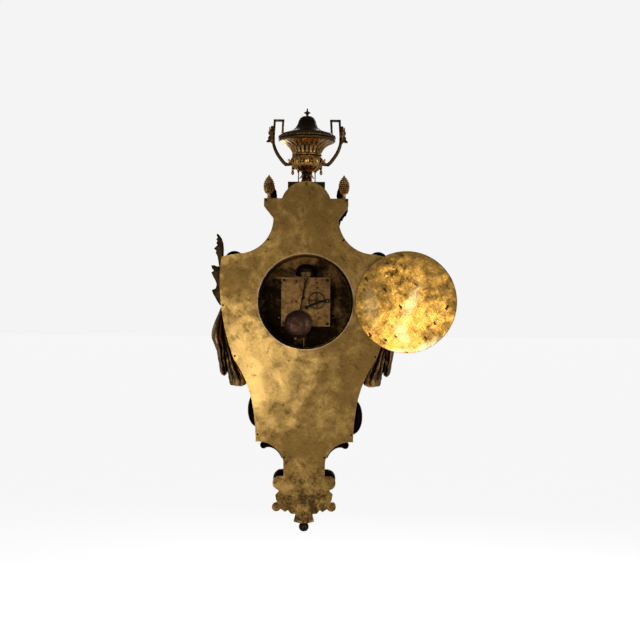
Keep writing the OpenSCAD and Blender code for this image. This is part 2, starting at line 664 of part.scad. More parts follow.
module enamel_dial() color(enamel_white) at_dial() {
    difference() {
        rod_y([0, 0], seat_in - 0.4, dial_front, dial_plate_front);
        rod_y([0, 0], 5, dial_front - 1, dial_plate_front + 1);
        for (p = [going_p, strike_p]) rod_y(p, 4.4, dial_front - 1, dial_plate_front + 1);
    }
    for (p = foot_places) rod_y(p, 1, dial_plate_front - 0.5, dial_plate_rear + 2);
}

cannon_r = 2.2;
pipe_in = cannon_r + 0.08;
pipe_r = 3.2;
centre_front_r = 1.3;
minute_y = dial_front - 5.5;
hour_y = dial_front - 2.2;
module spun(a) rotate([0, a, 0]) children();

module minute_hand() color(bright_gold) at_dial() {
    pinion(centre_p, cannon_n, minute_m, mv_front - 2.9, mv_front - 0.4, heading(centre_p, minute_p),
        cannon_r + 0.1);
    difference() {
        union() {
            rod_y(centre_p, cannon_r, minute_y - 1, mv_front - 0.4);
            rod_y(centre_p, cannon_r + 0.6, minute_y - 2.6, minute_y - 1);
        }
        rod_y(centre_p, centre_front_r + run_gap, minute_y - 3, mv_front + 1);
    }
    spun(minute_at) slab(minute_y - 1, minute_y) difference() {
        union() {
            circle(r = 4.6);
            polygon([[-2.2, 3], [2.2, 3], [1.2, 22], [3.6, 30], [1.4, 38], [1.6, 52], [0, minute_len],
                [-1.6, 52], [-1.4, 38], [-3.6, 30], [-1.2, 22]]);
        }
        circle(r = cannon_r + 0.02);
    }
}

module hour_hand() color(bright_gold) at_dial() {
    wheel(centre_p, hour_n, hour_m, mv_front - 5.6, mv_front - 4.2, heading(centre_p, minute_p), pipe_r);
    difference() {
        rod_y(centre_p, pipe_r, hour_y - 1, mv_front - 4);
        rod_y(centre_p, pipe_in, hour_y - 2, mv_front);
    }
    spun(hour_at) slab(hour_y - 1, hour_y) difference() {
        union() {
            circle(r = 6);
            polygon([[-2.6, 4], [2.6, 4], [1.4, 18], [5.6, 25], [1.8, 32], [2, 38], [0, hour_len], [-2, 38],
                [-1.8, 32], [-5.6, 25], [-1.4, 18]]);
        }
        circle(r = pipe_r + 0.02);
    }
}

stud_r = 1.2;
module minute_wheel() color(dull_brass) at_dial() {
    wheel(minute_p, minute_n, minute_m, mv_front - 2.6, mv_front - 1.2, facing(centre_p, minute_p,
        minute_n), 1.7);
    pinion(minute_p, minute_pin_n, hour_m, mv_front - 6, mv_front - 2.7, facing(centre_p, minute_p,
        minute_pin_n), 1.7);
    difference() {
        rod_y(minute_p, 1.7, mv_front - 6, mv_front - 0.4);
        rod_y(minute_p, stud_r + run_gap, mv_front - 7, mv_front);
    }
}

// Movement frame
module plate_square() box(-mv_half, mv_half, 0, mv_plate_t, -mv_half, mv_half);

module movement_rear_plate() color(dull_brass) at_dial() {
    difference() {
        translate([0, mv_in_rear, 0]) plate_square();
        for (p = arbor_places) rod_y(p, arbor_r + run_gap, mv_in_rear - 1, mv_rear + 1);
        for (p = [centre_p, pallet_p]) rod_y(p, arbor_r + run_gap, mv_in_rear - 1, mv_rear + 1);
        for (p = [going_p, strike_p]) rod_y(p, 1.5 + run_gap, mv_in_rear - 1, mv_rear + 1);
        for (x = [-1, 1], z = [-1, 1]) rod_y(pillar_at * [x, z], 1.45, mv_in_rear - 1, mv_rear + 1);
        for (x = [-6, 6]) rod_y([x, 40], 1.05, mv_in_rear - 1, mv_rear + 1);
    }
    rod_y(detent_p, 1.5, mv_rear - 0.5, mv_rear + 6.2);
}

module movement_front_plate() color(dull_brass) at_dial() {
    difference() {
        translate([0, mv_front, 0]) plate_square();
        for (p = arbor_places) rod_y(p, arbor_r + run_gap, mv_front - 1, mv_in_front + 1);
        rod_y(pallet_p, arbor_r + run_gap, mv_front - 1, mv_in_front + 1);
        rod_y(centre_p, centre_front_r + run_gap, mv_front - 1, mv_in_front + 1);
        for (p = [going_p, strike_p]) rod_y(p, winder_r + run_gap, mv_front - 1, mv_in_front + 1);
        for (x = [-1, 1], z = [-1, 1]) rod_y(pillar_at * [x, z], 1.45, mv_front - 1, mv_in_front + 1);
    }
    rod_y(minute_p, stud_r, mv_front - 6.4, mv_front + 0.5);
}

module movement_pillars() color(dull_brass) at_dial() for (x = [-1, 1], z = [-1, 1]) {
    difference() {
        rod_y(pillar_at * [x, z], pillar_r, mv_in_front, mv_in_rear);
        rod_y(pillar_at * [x, z], 1.45, mv_in_rear - 9, mv_in_rear + 1);
        rod_y(pillar_at * [x, z], 1.45, mv_in_front - 1, mv_in_front + 7);
    }
    rod_y(pillar_at * [x, z], pillar_r, dial_plate_rear, mv_front);
    rod_y(pillar_at * [x, z], 1.4, mv_front - 0.5, mv_in_front + 6);
}

module screws() color(steel_dark) at_dial() {
    both_sides() for (p = edge_screw_right) {
        rod_y(p, edge_screw_r, -back_plate_t - edge_screw_l, 0.1);
        rod_y(p, edge_screw_r + 0.8, 0, 0.9);
    }
    for (x = [-1, 1], z = [-1, 1]) difference() {
        union() {
            rod_y(pillar_at * [x, z], 1.4, mv_in_rear - 8, mv_rear + 0.1);
            rod_y(pillar_at * [x, z], 2.8, mv_rear, mv_rear + 1.5);
        }
        translate([pillar_at * x, 0, pillar_at * z]) rotate([0, 40 * x * z, 0])
            box(-4, 4, mv_rear + 0.8, mv_rear + 2, -0.35, 0.35);
    }
    for (a = [45:90:315]) {
        rod_y(polar(seat_in + 2.2, a), 0.8, dial_plate_front - 3.5, dial_plate_rear + 0.1);
        rod_y(polar(seat_in + 2.2, a), 1.6, dial_plate_rear, dial_plate_rear + 0.9);
    }
}

cock_top = 55;
module suspension_cock() color(dull_brass) at_dial() {
    difference() {
        union() {
            box(-8, 8, mv_rear, pendulum_y + 4, mv_half + 1.5, cock_top);
            box(-8, 8, mv_rear, mv_rear + 2.2, 37, mv_half + 2);
            box(4, 26, mv_rear, mv_rear + 1.6, 33, 41);
        }
        box(-3.6, 3.6, mv_rear - 1, mv_rear + 3, 30, mv_half);
        box(-1.8, 1.8, pendulum_y - 3.2, pendulum_y + 5, 40, cock_top - 3);
        for (x = [-6, 6]) rod_y([x, 40], 1.05, mv_rear - 1, mv_rear + 3);
    }
    for (x = [-6, 6]) {
        rod_y([x, 40], 1, mv_in_rear, mv_rear + 2.3);
        rod_y([x, 40], 1.7, mv_rear + 2.2, mv_rear + 3.2);
    }
    box(-0.15, 0.15, pendulum_y - 2.6, pendulum_y + 2.6, pallet_up + 4, cock_top - 3);
    box(-1.2, 1.2, pendulum_y - 2.9, pendulum_y + 2.9, pallet_up + 3, pallet_up + 4.6);
    for (y = [-2.9, 1.9]) box(-1.2, 1.2, pendulum_y + y, pendulum_y + y + 1, pallet_up - 1.4,
        pallet_up + 3.2);
    rod_y(pallet_p, 0.8, pendulum_y - 2.9, pendulum_y + 2.9);
}

bell_top = bell_up + bell_h;
module bell_stand() color(dull_brass) at_dial() {
    box(-4, 4, mv_front, mv_rear - 2.6, mv_half, mv_half + 2);
    rod_z(0, bell_y, 2, mv_half + 1, bell_top - 2);
    rod_z(0, bell_y, 1.2, bell_top - 2, bell_top + 3);
    rod_z(0, bell_y, 2.6, bell_top, bell_top + 2);
}

module bell() color(bell_bronze) at_dial() turned_z(0, bell_y) polygon([[1.25, bell_top - 1.8],
    [8, bell_top - 2.4], [13.5, bell_top - 5.5], [16.8, bell_top - 10.5], [18.2, bell_top - 16],
    [bell_r - 1, bell_up], [bell_r, bell_up], [bell_r - 0.2, bell_up + 5], [18.4, bell_top - 10],
    [15, bell_top - 4], [9, bell_top - 0.6], [4, bell_top], [1.25, bell_top]]);

ratchet_r = 8;
module clicks() color(steel_dark) at_dial() for (i = [0, 1]) translate([[going_p, strike_p][i][0], 0,
    [going_p, strike_p][i][1]]) rotate([0, -[262, 278][i], 0]) slab(mv_front - 2, mv_front)
    polygon([[ratchet_r + 0.5, -1], [ratchet_r + 1.4, 1.4], [13, 3], [16, 2], [16, -2], [12.6, -1.6]]);

hook_x = 3;
module bob_hook() color(dull_brass) at_dial() translate([hook_x, -33, 0]) {
    rod_z(0, 0, 0.8, -drum_in + 0.2, -68);
    translate([0, 0, -68]) sphere(r = 0.8);
    translate([0, 0, -68]) rotate([0, 106, 0]) cylinder(r = 0.8, h = 16);
}

// Going train
drum_rear = mv_in_rear - 10.5;
drum_front = mv_in_front + 1.5;
great_y = drum_rear + 2;
module barrel(p, q) {
    difference() {
        rod_y(p, barrel_r, drum_front, drum_rear);
        rod_y(p, barrel_r - 1.2, drum_front + 1.2, drum_rear - 1.2);
        rod_y(p, winder_r + run_gap, drum_front - 1, drum_rear + 1);
    }
    translate([p[0], 0, p[1]]) slab(drum_rear, great_y) difference() {
        polygon(gear_pts(great_n, great_m, 0.7, heading(p, q)));
        flat_bore(winder_r + 0.15);
    }
}

spring_turns = 7;
module mainspring(p) translate([p[0], 0, p[1]]) slab(drum_front + 1.8, drum_rear - 1.8)
    polygon(strip_pts([for (i = [0:20 * spring_turns])
    polar(winder_r + 1.2 + (barrel_r - winder_r - 3.4) * i / (20 * spring_turns), 18 * i)], [0.25, 0.25]));

module winder(p) {
    rod_y(p, winder_r, mv_front - 2.4, mv_in_rear - 0.3);
    rod_y(p, 1.5, mv_in_rear - 0.5, mv_rear);
    translate([p[0], 0, p[1]]) box(-square_w / 2, square_w / 2, dial_front - 1.5, mv_front - 2.4,
        -square_w / 2, square_w / 2);
    translate([p[0], 0, p[1]]) slab(mv_front - 2.2, mv_front - 0.4) difference() {
        polygon(saw_pts(16, ratchet_r, ratchet_r - 1.4));
        flat_bore(winder_r + 0.03);
    }
}

module going_barrel() color(dull_brass) at_dial() barrel(going_p, going_second_p);
module going_mainspring() color(steel_dark) at_dial() mainspring(going_p);
module going_winder() color(steel_dark) at_dial() winder(going_p);

second_y = mv_in_rear - 6;
module going_second_wheel() color(dull_brass) at_dial() {
    arbor(going_second_p);
    pinion(going_second_p, second_pin_n, great_m, drum_rear - 1, great_y + 1,
        facing(going_p, going_second_p, second_pin_n), arbor_r);
    wheel(going_second_p, going_second_n, going_second_m, second_y, second_y + 1.5,
        heading(going_second_p, centre_p), arbor_r);
}

centre_y = mv_in_rear - 3.2;
module centre_wheel() color(dull_brass) at_dial() {
    rod_y(centre_p, arbor_r, mv_in_front - 0.1, mv_rear);
    rod_y(centre_p, centre_front_r, minute_y - 3.2, mv_in_front);
    pinion(centre_p, centre_pin_n, going_second_m, second_y - 1, second_y + 2,
        facing(going_second_p, centre_p, centre_pin_n), arbor_r);
    wheel(centre_p, centre_n, centre_m, centre_y, centre_y + 1.4, heading(centre_p, third_p), arbor_r);
}

third_y = mv_in_front + 8;
module third_wheel() color(dull_brass) at_dial() {
    arbor(third_p);
    pinion(third_p, third_pin_n, centre_m, centre_y - 0.8, centre_y + 2.2, facing(centre_p, third_p,
        third_pin_n), arbor_r);
    wheel(third_p, third_n, third_m, third_y, third_y + 1.4, heading(third_p, escape_p), arbor_r);
}

escape_y = mv_in_rear - 6;
module escape_wheel() color(dull_brass) at_dial() {
    arbor(escape_p);
    pinion(escape_p, escape_pin_n, third_m, third_y - 1, third_y + 2.4, facing(third_p, escape_p,
        escape_pin_n), arbor_r);
    translate([escape_p[0], 0, escape_p[1]]) slab(escape_y, escape_y + 1.2) difference() {
        polygon(saw_pts(30, escape_r, escape_r - 1.6));
        crossings(3.2, escape_r - 2.8, 10);
        flat_bore(arbor_r + 0.03);
    }
}

// Pallets and crutch, hanging with the pendulum
module hung() translate([pallet_p[0], 0, pallet_p[1]]) rotate([0, -pendulum_at, 0]) children();
pallet_reach = 9.2;
crutch_y = mv_rear + 4.2;
fork_gap = rod_r + 0.3;
module crutch() color(steel_dark) at_dial() hung() {
    rod_y([0, 0], arbor_r, mv_front, crutch_y + 1.6);
    slab(escape_y - 0.2, escape_y + 1.4) difference() {
        polygon([[0, 3], [pallet_reach * sin(63), -pallet_reach * cos(63) + 1.6], [pallet_reach * sin(61),
            -pallet_reach * cos(61)], [3, -2.2], [0, -3], [-3, -2.2], [-pallet_reach * sin(61),
            -pallet_reach * cos(61)], [-pallet_reach * sin(63), -pallet_reach * cos(63) + 1.6]]);
        flat_bore(arbor_r + 0.03);
    }
    difference() {
        slab(crutch_y, crutch_y + 1.3) union() {
            circle(r = 3);
            translate([-1, -crutch_l]) square([2, crutch_l]);
            translate([-fork_gap - 1, -crutch_l - 1]) square([2 * fork_gap + 2, 3]);
        }
        rod_y([0, 0], arbor_r + 0.03, crutch_y - 1, crutch_y + 2);
    }
    both_sides() box(fork_gap, fork_gap + 1, crutch_y + 1.2, pendulum_y + 1.6, -crutch_l - 1, -crutch_l + 2);
}

module pendulum_rod() color(dull_brass) at_dial() hung() difference() {
    union() {
        rod_y([0, 0], 2.6, pendulum_y - 1.5, pendulum_y + 1.5);
        rod_z(0, pendulum_y, rod_r, -pendulum_l - bob_r - 7, -1.5);
    }
    rod_y([0, 0], 0.8 + run_gap, pendulum_y - 4, pendulum_y + 4);
}

module pendulum_bob() color(bob_brown) at_dial() hung() difference() {
    turned_y([0, -pendulum_l]) polygon([[0, -pendulum_y - bob_t / 2], [8, -pendulum_y - bob_t / 2],
        [15, -pendulum_y - bob_t / 2 + 0.9], [20.5, -pendulum_y - bob_t / 2 + 2.8],
        [bob_r, -pendulum_y - 1.2], [bob_r, -pendulum_y + 1.2], [20.5, -pendulum_y + bob_t / 2 - 2.8],
        [15, -pendulum_y + bob_t / 2 - 0.9], [8, -pendulum_y + bob_t / 2], [0, -pendulum_y + bob_t / 2]]);
    rod_z(0, pendulum_y, rod_r + 0.1, -pendulum_l - bob_r - 1, -pendulum_l + bob_r + 1);
}

module rating_nut() color(dull_brass) at_dial() hung() difference() {
    rod_z(0, pendulum_y, 3.6, -pendulum_l - bob_r - 3.6, -pendulum_l - bob_r - 0.4);
    rod_z(0, pendulum_y, rod_r + run_gap, -pendulum_l - bob_r - 5, -pendulum_l - bob_r);
}

// Strike train
module strike_barrel() color(dull_brass) at_dial() barrel(strike_p, strike_second_p);
module strike_mainspring() color(steel_dark) at_dial() mainspring(strike_p);
module strike_winder() color(steel_dark) at_dial() winder(strike_p);

count_y = mv_rear + 1.4;
module strike_second_wheel() color(dull_brass) at_dial() {
    arbor(strike_second_p, mv_front, count_y + 1.6);
    pinion(strike_second_p, second_pin_n, great_m, drum_rear - 1, great_y + 1,
        facing(strike_p, strike_second_p, second_pin_n), arbor_r);
    wheel(strike_second_p, strike_second_n, strike_second_m, second_y, second_y + 1.5,
        heading(strike_second_p, pin_p), arbor_r);
    translate([strike_second_p[0], 0, strike_second_p[1]]) slab(count_y, count_y + 1.4) difference() {
        circle(r = count_r);
        crossings(4.5, count_r - 3.4, 8);
        for (i = [1:12]) rotate(-i * (i + 1) / 2 * 360 / 90) translate([count_r - 1.6, -0.5]) square([3, 1]);
        flat_bore(arbor_r + 0.03);
    }
}

pin_y = mv_in_front + 12;
module pin_wheel() color(dull_brass) at_dial() {
    arbor(pin_p);
    pinion(pin_p, pin_pin_n, strike_second_m, second_y - 1, second_y + 2.4, facing(strike_second_p, pin_p,
        pin_pin_n), arbor_r);
    wheel(pin_p, pin_n, pin_m, pin_y, pin_y + 1.4, heading(pin_p, lock_p), arbor_r);
    for (a = [0:45:315]) rod_y(pin_p + polar(pin_m * pin_n / 2 - 1.2, a), 0.5, pin_y + 1.4, pin_y + 4);
}

lock_y = mv_in_front + 5;
module locking_wheel() color(dull_brass) at_dial() {
    arbor(lock_p);
    pinion(lock_p, lock_pin_n, pin_m, pin_y - 1, pin_y + 2.4, facing(pin_p, lock_p, lock_pin_n), arbor_r);
    wheel(lock_p, lock_n, lock_m, lock_y, lock_y + 1.2, heading(lock_p, fly_p), arbor_r);
}

fly_half = 6;
module fly() color(dull_brass) at_dial() {
    arbor(fly_p);
    pinion(fly_p, fly_pin_n, lock_m, lock_y - 1, lock_y + 2.2, facing(lock_p, fly_p, fly_pin_n), arbor_r);
    translate([fly_p[0], 0, fly_p[1]]) both_sides() box(arbor_r + 0.03, fly_half, mv_in_rear - 12,
        mv_in_rear - 2, -0.4, 0.4);
}

hammer_head = [-bell_r - 5.6, bell_up + 4.5];
module hammer() color(steel_dark) at_dial() {
    arbor(hammer_p);
    slab(bell_y - 1, bell_y + 1) difference() {
        union() {
            polygon(strip_pts([hammer_p, hammer_head], [1.2, 0.9]));
            translate(hammer_p) circle(r = 2.4);
        }
        translate(hammer_p) flat_bore(arbor_r + 0.03);
    }
    rod_y(hammer_head, 4, bell_y - 4, bell_y - 1);
    rod_y(hammer_head, 4, bell_y + 1, bell_y + 4);
    slab(pin_y + 2, pin_y + 3) difference() {
        union() {
            polygon(strip_pts([hammer_p, [-18.5, 36.6], [-17.2, 33]], [1.2, 0.8]));
            translate(hammer_p) circle(r = 2.2);
        }
        translate(hammer_p) flat_bore(arbor_r + 0.03);
    }
}

detent_y = mv_rear + 4.4;
detent_tip = [-1.6, -10.4];
module count_detent() color(steel_dark) at_dial() difference() {
    union() {
        rod_y(detent_p, 3.2, detent_y, detent_y + 1.2);
        slab(detent_y, detent_y + 1.2) polygon(strip_pts([detent_p + [2.4, 0], [-30, 1], [-18, -3],
            detent_tip + [-1.6, 0.9]], [1.5, 1]));
        rod_y(detent_tip, 2.4, detent_y, detent_y + 1.2);
    }
    rod_y(detent_p, 1.5 + run_gap, detent_y - 1, detent_y + 2);
    rod_y(detent_tip, 1.2, detent_y - 1, detent_y + 2);
}

// Back door, drawn closed and then swung open
door_edge = 0.3;
door_c = [door_r + 0.3 + knuckle_r - door_hinge_x, 0];
hinge_mid = -door_hinge_drop;
knuckle_l = (door_hinge_l - 0.4) / 3;
hinge_low = hinge_mid - door_hinge_l / 2;
module swung() translate([-door_hinge_x, door_hinge_y, 0]) rotate([0, 0, door_open])
    translate([door_hinge_x, -door_hinge_y, 0]) children();
module door_knuckle(i) rod_z(-door_hinge_x, door_hinge_y, knuckle_r, hinge_low + i * (knuckle_l + 0.2),
    hinge_low + i * (knuckle_l + 0.2) + knuckle_l);
rivet_x = 8 - door_hinge_x;
rivet_drops = [1, -14];
latch_p = [latch_x, -10.5];

module back_door() color(door_gold) at_dial() swung() difference() {
    turned_y(door_c) polygon([[0, -door_edge - door_dish - door_t],
        [door_r - 9, -door_edge - door_dish - door_t], [door_r - 7.5, -door_edge - door_t],
        [door_r, -door_edge - door_t], [door_r, -door_edge], [door_r - 7.5, -door_edge],
        [door_r - 9, -door_edge - door_dish], [0, -door_edge - door_dish]]);
    for (z = rivet_drops) rod_y([rivet_x, z], 0.95, -2, 6);
    rod_y(latch_p, 1.2 + run_gap, -2, 6);
}

module door_hinge_fixed() color(sheet_gold) at_dial() {
    difference() {
        union() {
            box(-door_hinge_x - 13, -door_hinge_x, 0, 0.8, hinge_low, hinge_low + door_hinge_l);
            door_knuckle(0);
            door_knuckle(2);
        }
        rod_z(-door_hinge_x, door_hinge_y, hinge_pin_r, hinge_low - 1, hinge_low + door_hinge_l + 1);
        box(-door_hinge_x - knuckle_r - 0.4, 0, -1, 4, hinge_low + knuckle_l,
            hinge_low + 2 * knuckle_l + 0.4);
    }
    rod_z(-door_hinge_x, door_hinge_y, hinge_pin_r, hinge_low, hinge_low + door_hinge_l);
}

module door_hinge_leaf() color(door_gold) at_dial() swung() {
    difference() {
        union() {
            box(-door_hinge_x + knuckle_r + 0.4, -door_hinge_x + 13, door_edge + door_t,
                door_edge + door_t + 0.8, hinge_low, hinge_low + door_hinge_l);
            box(-door_hinge_x, -door_hinge_x + 3, door_edge + door_t, door_edge + door_t + 0.8,
                hinge_low + knuckle_l + 0.2, hinge_low + 2 * knuckle_l + 0.2);
            door_knuckle(1);
        }
        rod_z(-door_hinge_x, door_hinge_y, hinge_pin_r + run_gap, hinge_low - 1,
            hinge_low + door_hinge_l + 1);
        turned_y(door_c) polygon([[0, -door_edge - door_dish - door_t],
            [door_r - 9, -door_edge - door_dish - door_t], [door_r - 7.5, -door_edge - door_t],
            [0, -door_edge - door_t]]);
    }
    for (z = rivet_drops) {
        rod_y([rivet_x, z], 0.9, 0.2, door_edge + door_t + 0.1);
        rod_y([rivet_x, z], 1.4, -0.3, door_edge);
    }
}

latch_y = -7.6;
module door_latch() color(steel_dark) at_dial()
    swung() translate([latch_p[0], 0, latch_p[1]]) rotate([0, -latch_at, 0]) {
    rod_y([0, 0], 1.2, latch_y, door_edge + door_dish + door_t + 0.5);
    slab(latch_y, latch_y + 1.2) polygon([[-3, -1.5], [latch_reach, -1.1], [latch_reach, 1.1], [-3, 1.5]]);
    slab(door_edge + door_dish + door_t + 0.3, door_edge + door_dish + door_t + 2.3)
        polygon([[-5, -1.4], [5, -1.4], [5, 1.4], [-5, 1.4]]);
}

// Glazed bezel, closed
bezel_hinge_x = bezel_r + 3;
bezel_hinge_y = bezel_rear - 2;
bezel_knuckle_r = 2.2;
bezel_hinge_l = 24;
bezel_knuckle_l = (bezel_hinge_l - 0.4) / 3;
module bezel_knuckle(i) rod_z(bezel_hinge_x, bezel_hinge_y, bezel_knuckle_r,
    i * (bezel_knuckle_l + 0.2) - bezel_hinge_l / 2,
    i * (bezel_knuckle_l + 0.2) - bezel_hinge_l / 2 + bezel_knuckle_l);

module bezel_ring() color(bright_gold) at_dial()
    turned_y([0, 0]) polygon([[glass_r + 0.2, -bezel_rear], [bezel_r, -bezel_rear],
    [bezel_r, -bezel_rear + 3], [bezel_r - 2.5, -bezel_rear + 4], [bezel_r - 4, -bezel_rear + 7],
    [bezel_r - 8, -bezel_rear + bezel_h - 1], [bezel_r - 12, -bezel_front], [bezel_in + 4, -bezel_front + -1],
    [bezel_in, -bezel_rear + 5], [bezel_in, -bezel_rear + 2.8], [glass_r + 0.2, -bezel_rear + 2.8]]);

function dome(r) = -bezel_rear + 2.6 + glass_rise * (1 - pow(r / bezel_in, 2));
module bezel_glass() color(glass_clear) at_dial() turned_y([0, 0]) polygon(concat(
    [[glass_r, -bezel_rear + 0.4], [glass_r, -bezel_rear + 2.6], [bezel_in - 0.4, -bezel_rear + 2.6]],
    [for (r = [bezel_in - 2:-7:4]) [r, dome(r)]], [[0, dome(0)], [0, dome(0) - glass_t]],
    [for (r = [4:7:bezel_in - 6]) [r, dome(r) - glass_t]], [[bezel_in - 2, -bezel_rear + 0.4]]));

module bezel_hinge_fixed() color(sheet_gold) at_dial() {
    difference() {
        union() {
            box(seat_r - 4, bezel_hinge_x, seat_front + 1, seat_front + 5, -bezel_hinge_l / 2,
                bezel_hinge_l / 2);
            box(bezel_hinge_x - bezel_knuckle_r, bezel_hinge_x + bezel_knuckle_r, bezel_hinge_y,
                seat_front + 5, -bezel_hinge_l / 2, bezel_hinge_l / 2);
            bezel_knuckle(0);
            bezel_knuckle(2);
        }
        rod_z(bezel_hinge_x, bezel_hinge_y, hinge_pin_r, -bezel_hinge_l, bezel_hinge_l);
        rod_y([0, 0], seat_r + 0.1, -120, 0);
        rod_y([0, 0], bezel_r + 0.4, -120, bezel_rear + 0.4);
        rod_z(bezel_hinge_x, bezel_hinge_y, bezel_knuckle_r + 0.3, -bezel_knuckle_l / 2 - 0.2,
            bezel_knuckle_l / 2 + 0.2);
        box(bezel_hinge_x - 6, bezel_hinge_x + 4, bezel_hinge_y - 4, bezel_hinge_y + 2.4,
            -bezel_knuckle_l / 2 - 0.2, bezel_knuckle_l / 2 + 0.2);
    }
    rod_z(bezel_hinge_x, bezel_hinge_y, hinge_pin_r, -bezel_hinge_l / 2, bezel_hinge_l / 2);
}

module bezel_hinge_leaf() color(sheet_gold) at_dial() difference() {
    union() {
        bezel_knuckle(1);
        box(bezel_r - 4, bezel_hinge_x, bezel_rear - 2.8, bezel_rear - 0.6, -bezel_knuckle_l / 2,
            bezel_knuckle_l / 2);
    }
    rod_z(bezel_hinge_x, bezel_hinge_y, hinge_pin_r + run_gap, -bezel_hinge_l, bezel_hinge_l);
    rod_y([0, 0], bezel_r + 0.02, -120, 0);
}

back_plate();
case_band();
case_front();
movement_drum();
bezel_seat();
urn_plinth();
urn_foot();
urn_body();
urn_lid();
urn_finial();
urn_handles();
pinecones();
laurel_garlands();
drapes();
leaf_sprays();
scrolls();
terminal_leaf();
apron_rosette();
dial_plate();
enamel_dial();
door_hinge_fixed();
bezel_hinge_fixed();
movement_rear_plate();
movement_front_plate();
movement_pillars();
screws();
suspension_cock();
bell();
bell_stand();
clicks();
bob_hook();
back_door();
door_hinge_leaf();
door_latch();
bezel_ring();
bezel_glass();
bezel_hinge_leaf();
pendulum_rod();
pendulum_bob();
rating_nut();
crutch();
going_barrel();
going_mainspring();
going_second_wheel();
centre_wheel();
third_wheel();
escape_wheel();
strike_barrel();
strike_mainspring();
strike_second_wheel();
pin_wheel();
locking_wheel();
fly();
hammer();
count_detent();
minute_hand();
minute_wheel();
hour_hand();
going_winder();
strike_winder();
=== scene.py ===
import math

import bmesh
import bpy
from mathutils import Matrix, Vector
from mathutils.bvhtree import BVHTree
from mathutils.noise import noise as hillNoise


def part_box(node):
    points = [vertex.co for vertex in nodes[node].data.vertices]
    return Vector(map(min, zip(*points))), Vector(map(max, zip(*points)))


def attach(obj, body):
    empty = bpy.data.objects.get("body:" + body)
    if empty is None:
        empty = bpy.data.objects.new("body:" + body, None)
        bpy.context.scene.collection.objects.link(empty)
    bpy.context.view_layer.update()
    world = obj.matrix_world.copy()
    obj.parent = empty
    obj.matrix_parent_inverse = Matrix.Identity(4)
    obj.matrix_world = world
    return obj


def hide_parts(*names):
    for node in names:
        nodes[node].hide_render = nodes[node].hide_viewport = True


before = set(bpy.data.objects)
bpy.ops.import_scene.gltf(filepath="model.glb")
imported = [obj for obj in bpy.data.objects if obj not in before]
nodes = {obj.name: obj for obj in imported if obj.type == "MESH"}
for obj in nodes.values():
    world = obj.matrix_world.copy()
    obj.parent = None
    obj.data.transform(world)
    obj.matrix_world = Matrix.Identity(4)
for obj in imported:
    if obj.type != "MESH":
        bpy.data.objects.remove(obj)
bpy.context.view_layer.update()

scene = bpy.context.scene
dialDrop = 217.7  # dial axis below the hanging hole, mm
skyward = Vector((0, 0, 1))
frontFace = Vector((0, -1, 0))
print("frame loaded", len(nodes), "nodes")


# Places are given in millimetres about the dial's axis: x across, y towards the wall, z up
def mm(x, y, z):
    return Vector((x / 1000, y / 1000, (z - dialDrop) / 1000))


def smoothLine(points, parts):
    points = [Vector(p) for p in points]
    line = []
    for i in range(len(points) - 1):
        a, b = points[max(i - 1, 0)], points[i]
        c, d = points[i + 1], points[min(i + 2, len(points) - 1)]
        for k in range(parts):
            t = k / parts
            line.append(b + 0.5 * t * (c - a + t * (2 * a - 5 * b + 4 * c - d + t * (3 * b - 3 * c + d - a))))
    return line + [points[-1]]


def arc(cx, cz, r, first, last, count):
    turns = [math.radians(first + (last - first) * i / count) for i in range(count + 1)]
    return [Vector((cx + r * math.cos(a), cz + r * math.sin(a))) for a in turns]


def alongLine(line, share):
    at = min(max(share, 0), 1) * (len(line) - 1)
    i = min(int(at), len(line) - 2)
    return line[i].lerp(line[i + 1], at - i), (line[i + 1] - line[i]).normalized()


def outwards(count, shift=0.0):
    # directions about an upright axis
    turns = [math.tau * (k + shift) / count for k in range(count)]
    return [Vector((math.cos(turn), math.sin(turn), 0)) for turn in turns]


def frameAt(point, along, face):
    # a leaf laid along its Y with its face to Z
    side = along.cross(face).normalized()
    turn = Matrix((side, along, side.cross(along))).transposed().to_4x4()
    turn.translation = point
    return turn


# Nodes and groups
def setInputs(tree, made, inputs):
    for key, value in inputs.items():
        if isinstance(value, bpy.types.NodeSocket):
            tree.links.new(value, made.inputs[key])
        else:
            made.inputs[key].default_value = value


def addNode(tree, kind, inputs=None, **settings):
    made = tree.nodes.new("ShaderNode" + kind)
    for key, value in settings.items():
        setattr(made, key, value)
    setInputs(tree, made, inputs or {})
    return made


def newGroup(name, inputs, outputs):
    tree = bpy.data.node_groups.new(name, "ShaderNodeTree")
    for label, value in inputs.items():
        kind = "NodeSocketColor" if isinstance(value, tuple) else "NodeSocketFloat"
        socket = tree.interface.new_socket(name=label, in_out="INPUT", socket_type=kind)
        socket.default_value = value
    for label, kind in outputs.items():
        tree.interface.new_socket(name=label, in_out="OUTPUT", socket_type=kind)
    return tree, tree.nodes.new("NodeGroupInput").outputs, tree.nodes.new("NodeGroupOutput").inputs


def mathNode(tree, operation, a, b):
    return addNode(tree, "Math", {0: a, 1: b}, operation=operation).outputs[0]


def times(tree, a, b):
    return mathNode(tree, "MULTIPLY", a, b)


def plus(tree, a, b):
    return mathNode(tree, "ADD", a, b)


def higher(tree, a, b):
    return mathNode(tree, "MAXIMUM", a, b)


def ramp(tree, value, low, high):
    return addNode(tree, "MapRange", {"Value": value, "From Min": low, "From Max": high},
                   interpolation_type="SMOOTHSTEP").outputs["Result"]


def spread(tree, value, low, high, near=0.0, far=1.0):
    limits = {"Value": value, "From Min": near, "From Max": far, "To Min": low, "To Max": high}
    return addNode(tree, "MapRange", limits).outputs["Result"]


def mixColour(tree, share, a, b):
    return addNode(tree, "Mix", {0: share, 6: a, 7: b}, data_type="RGBA").outputs[2]


def noise(tree, coord, scale, detail, rough=0.6, distortion=0.0):
    grain = {"Vector": coord, "Scale": scale, "Detail": detail, "Roughness": rough, "Distortion": distortion}
    return addNode(tree, "TexNoise", grain).outputs["Fac"]


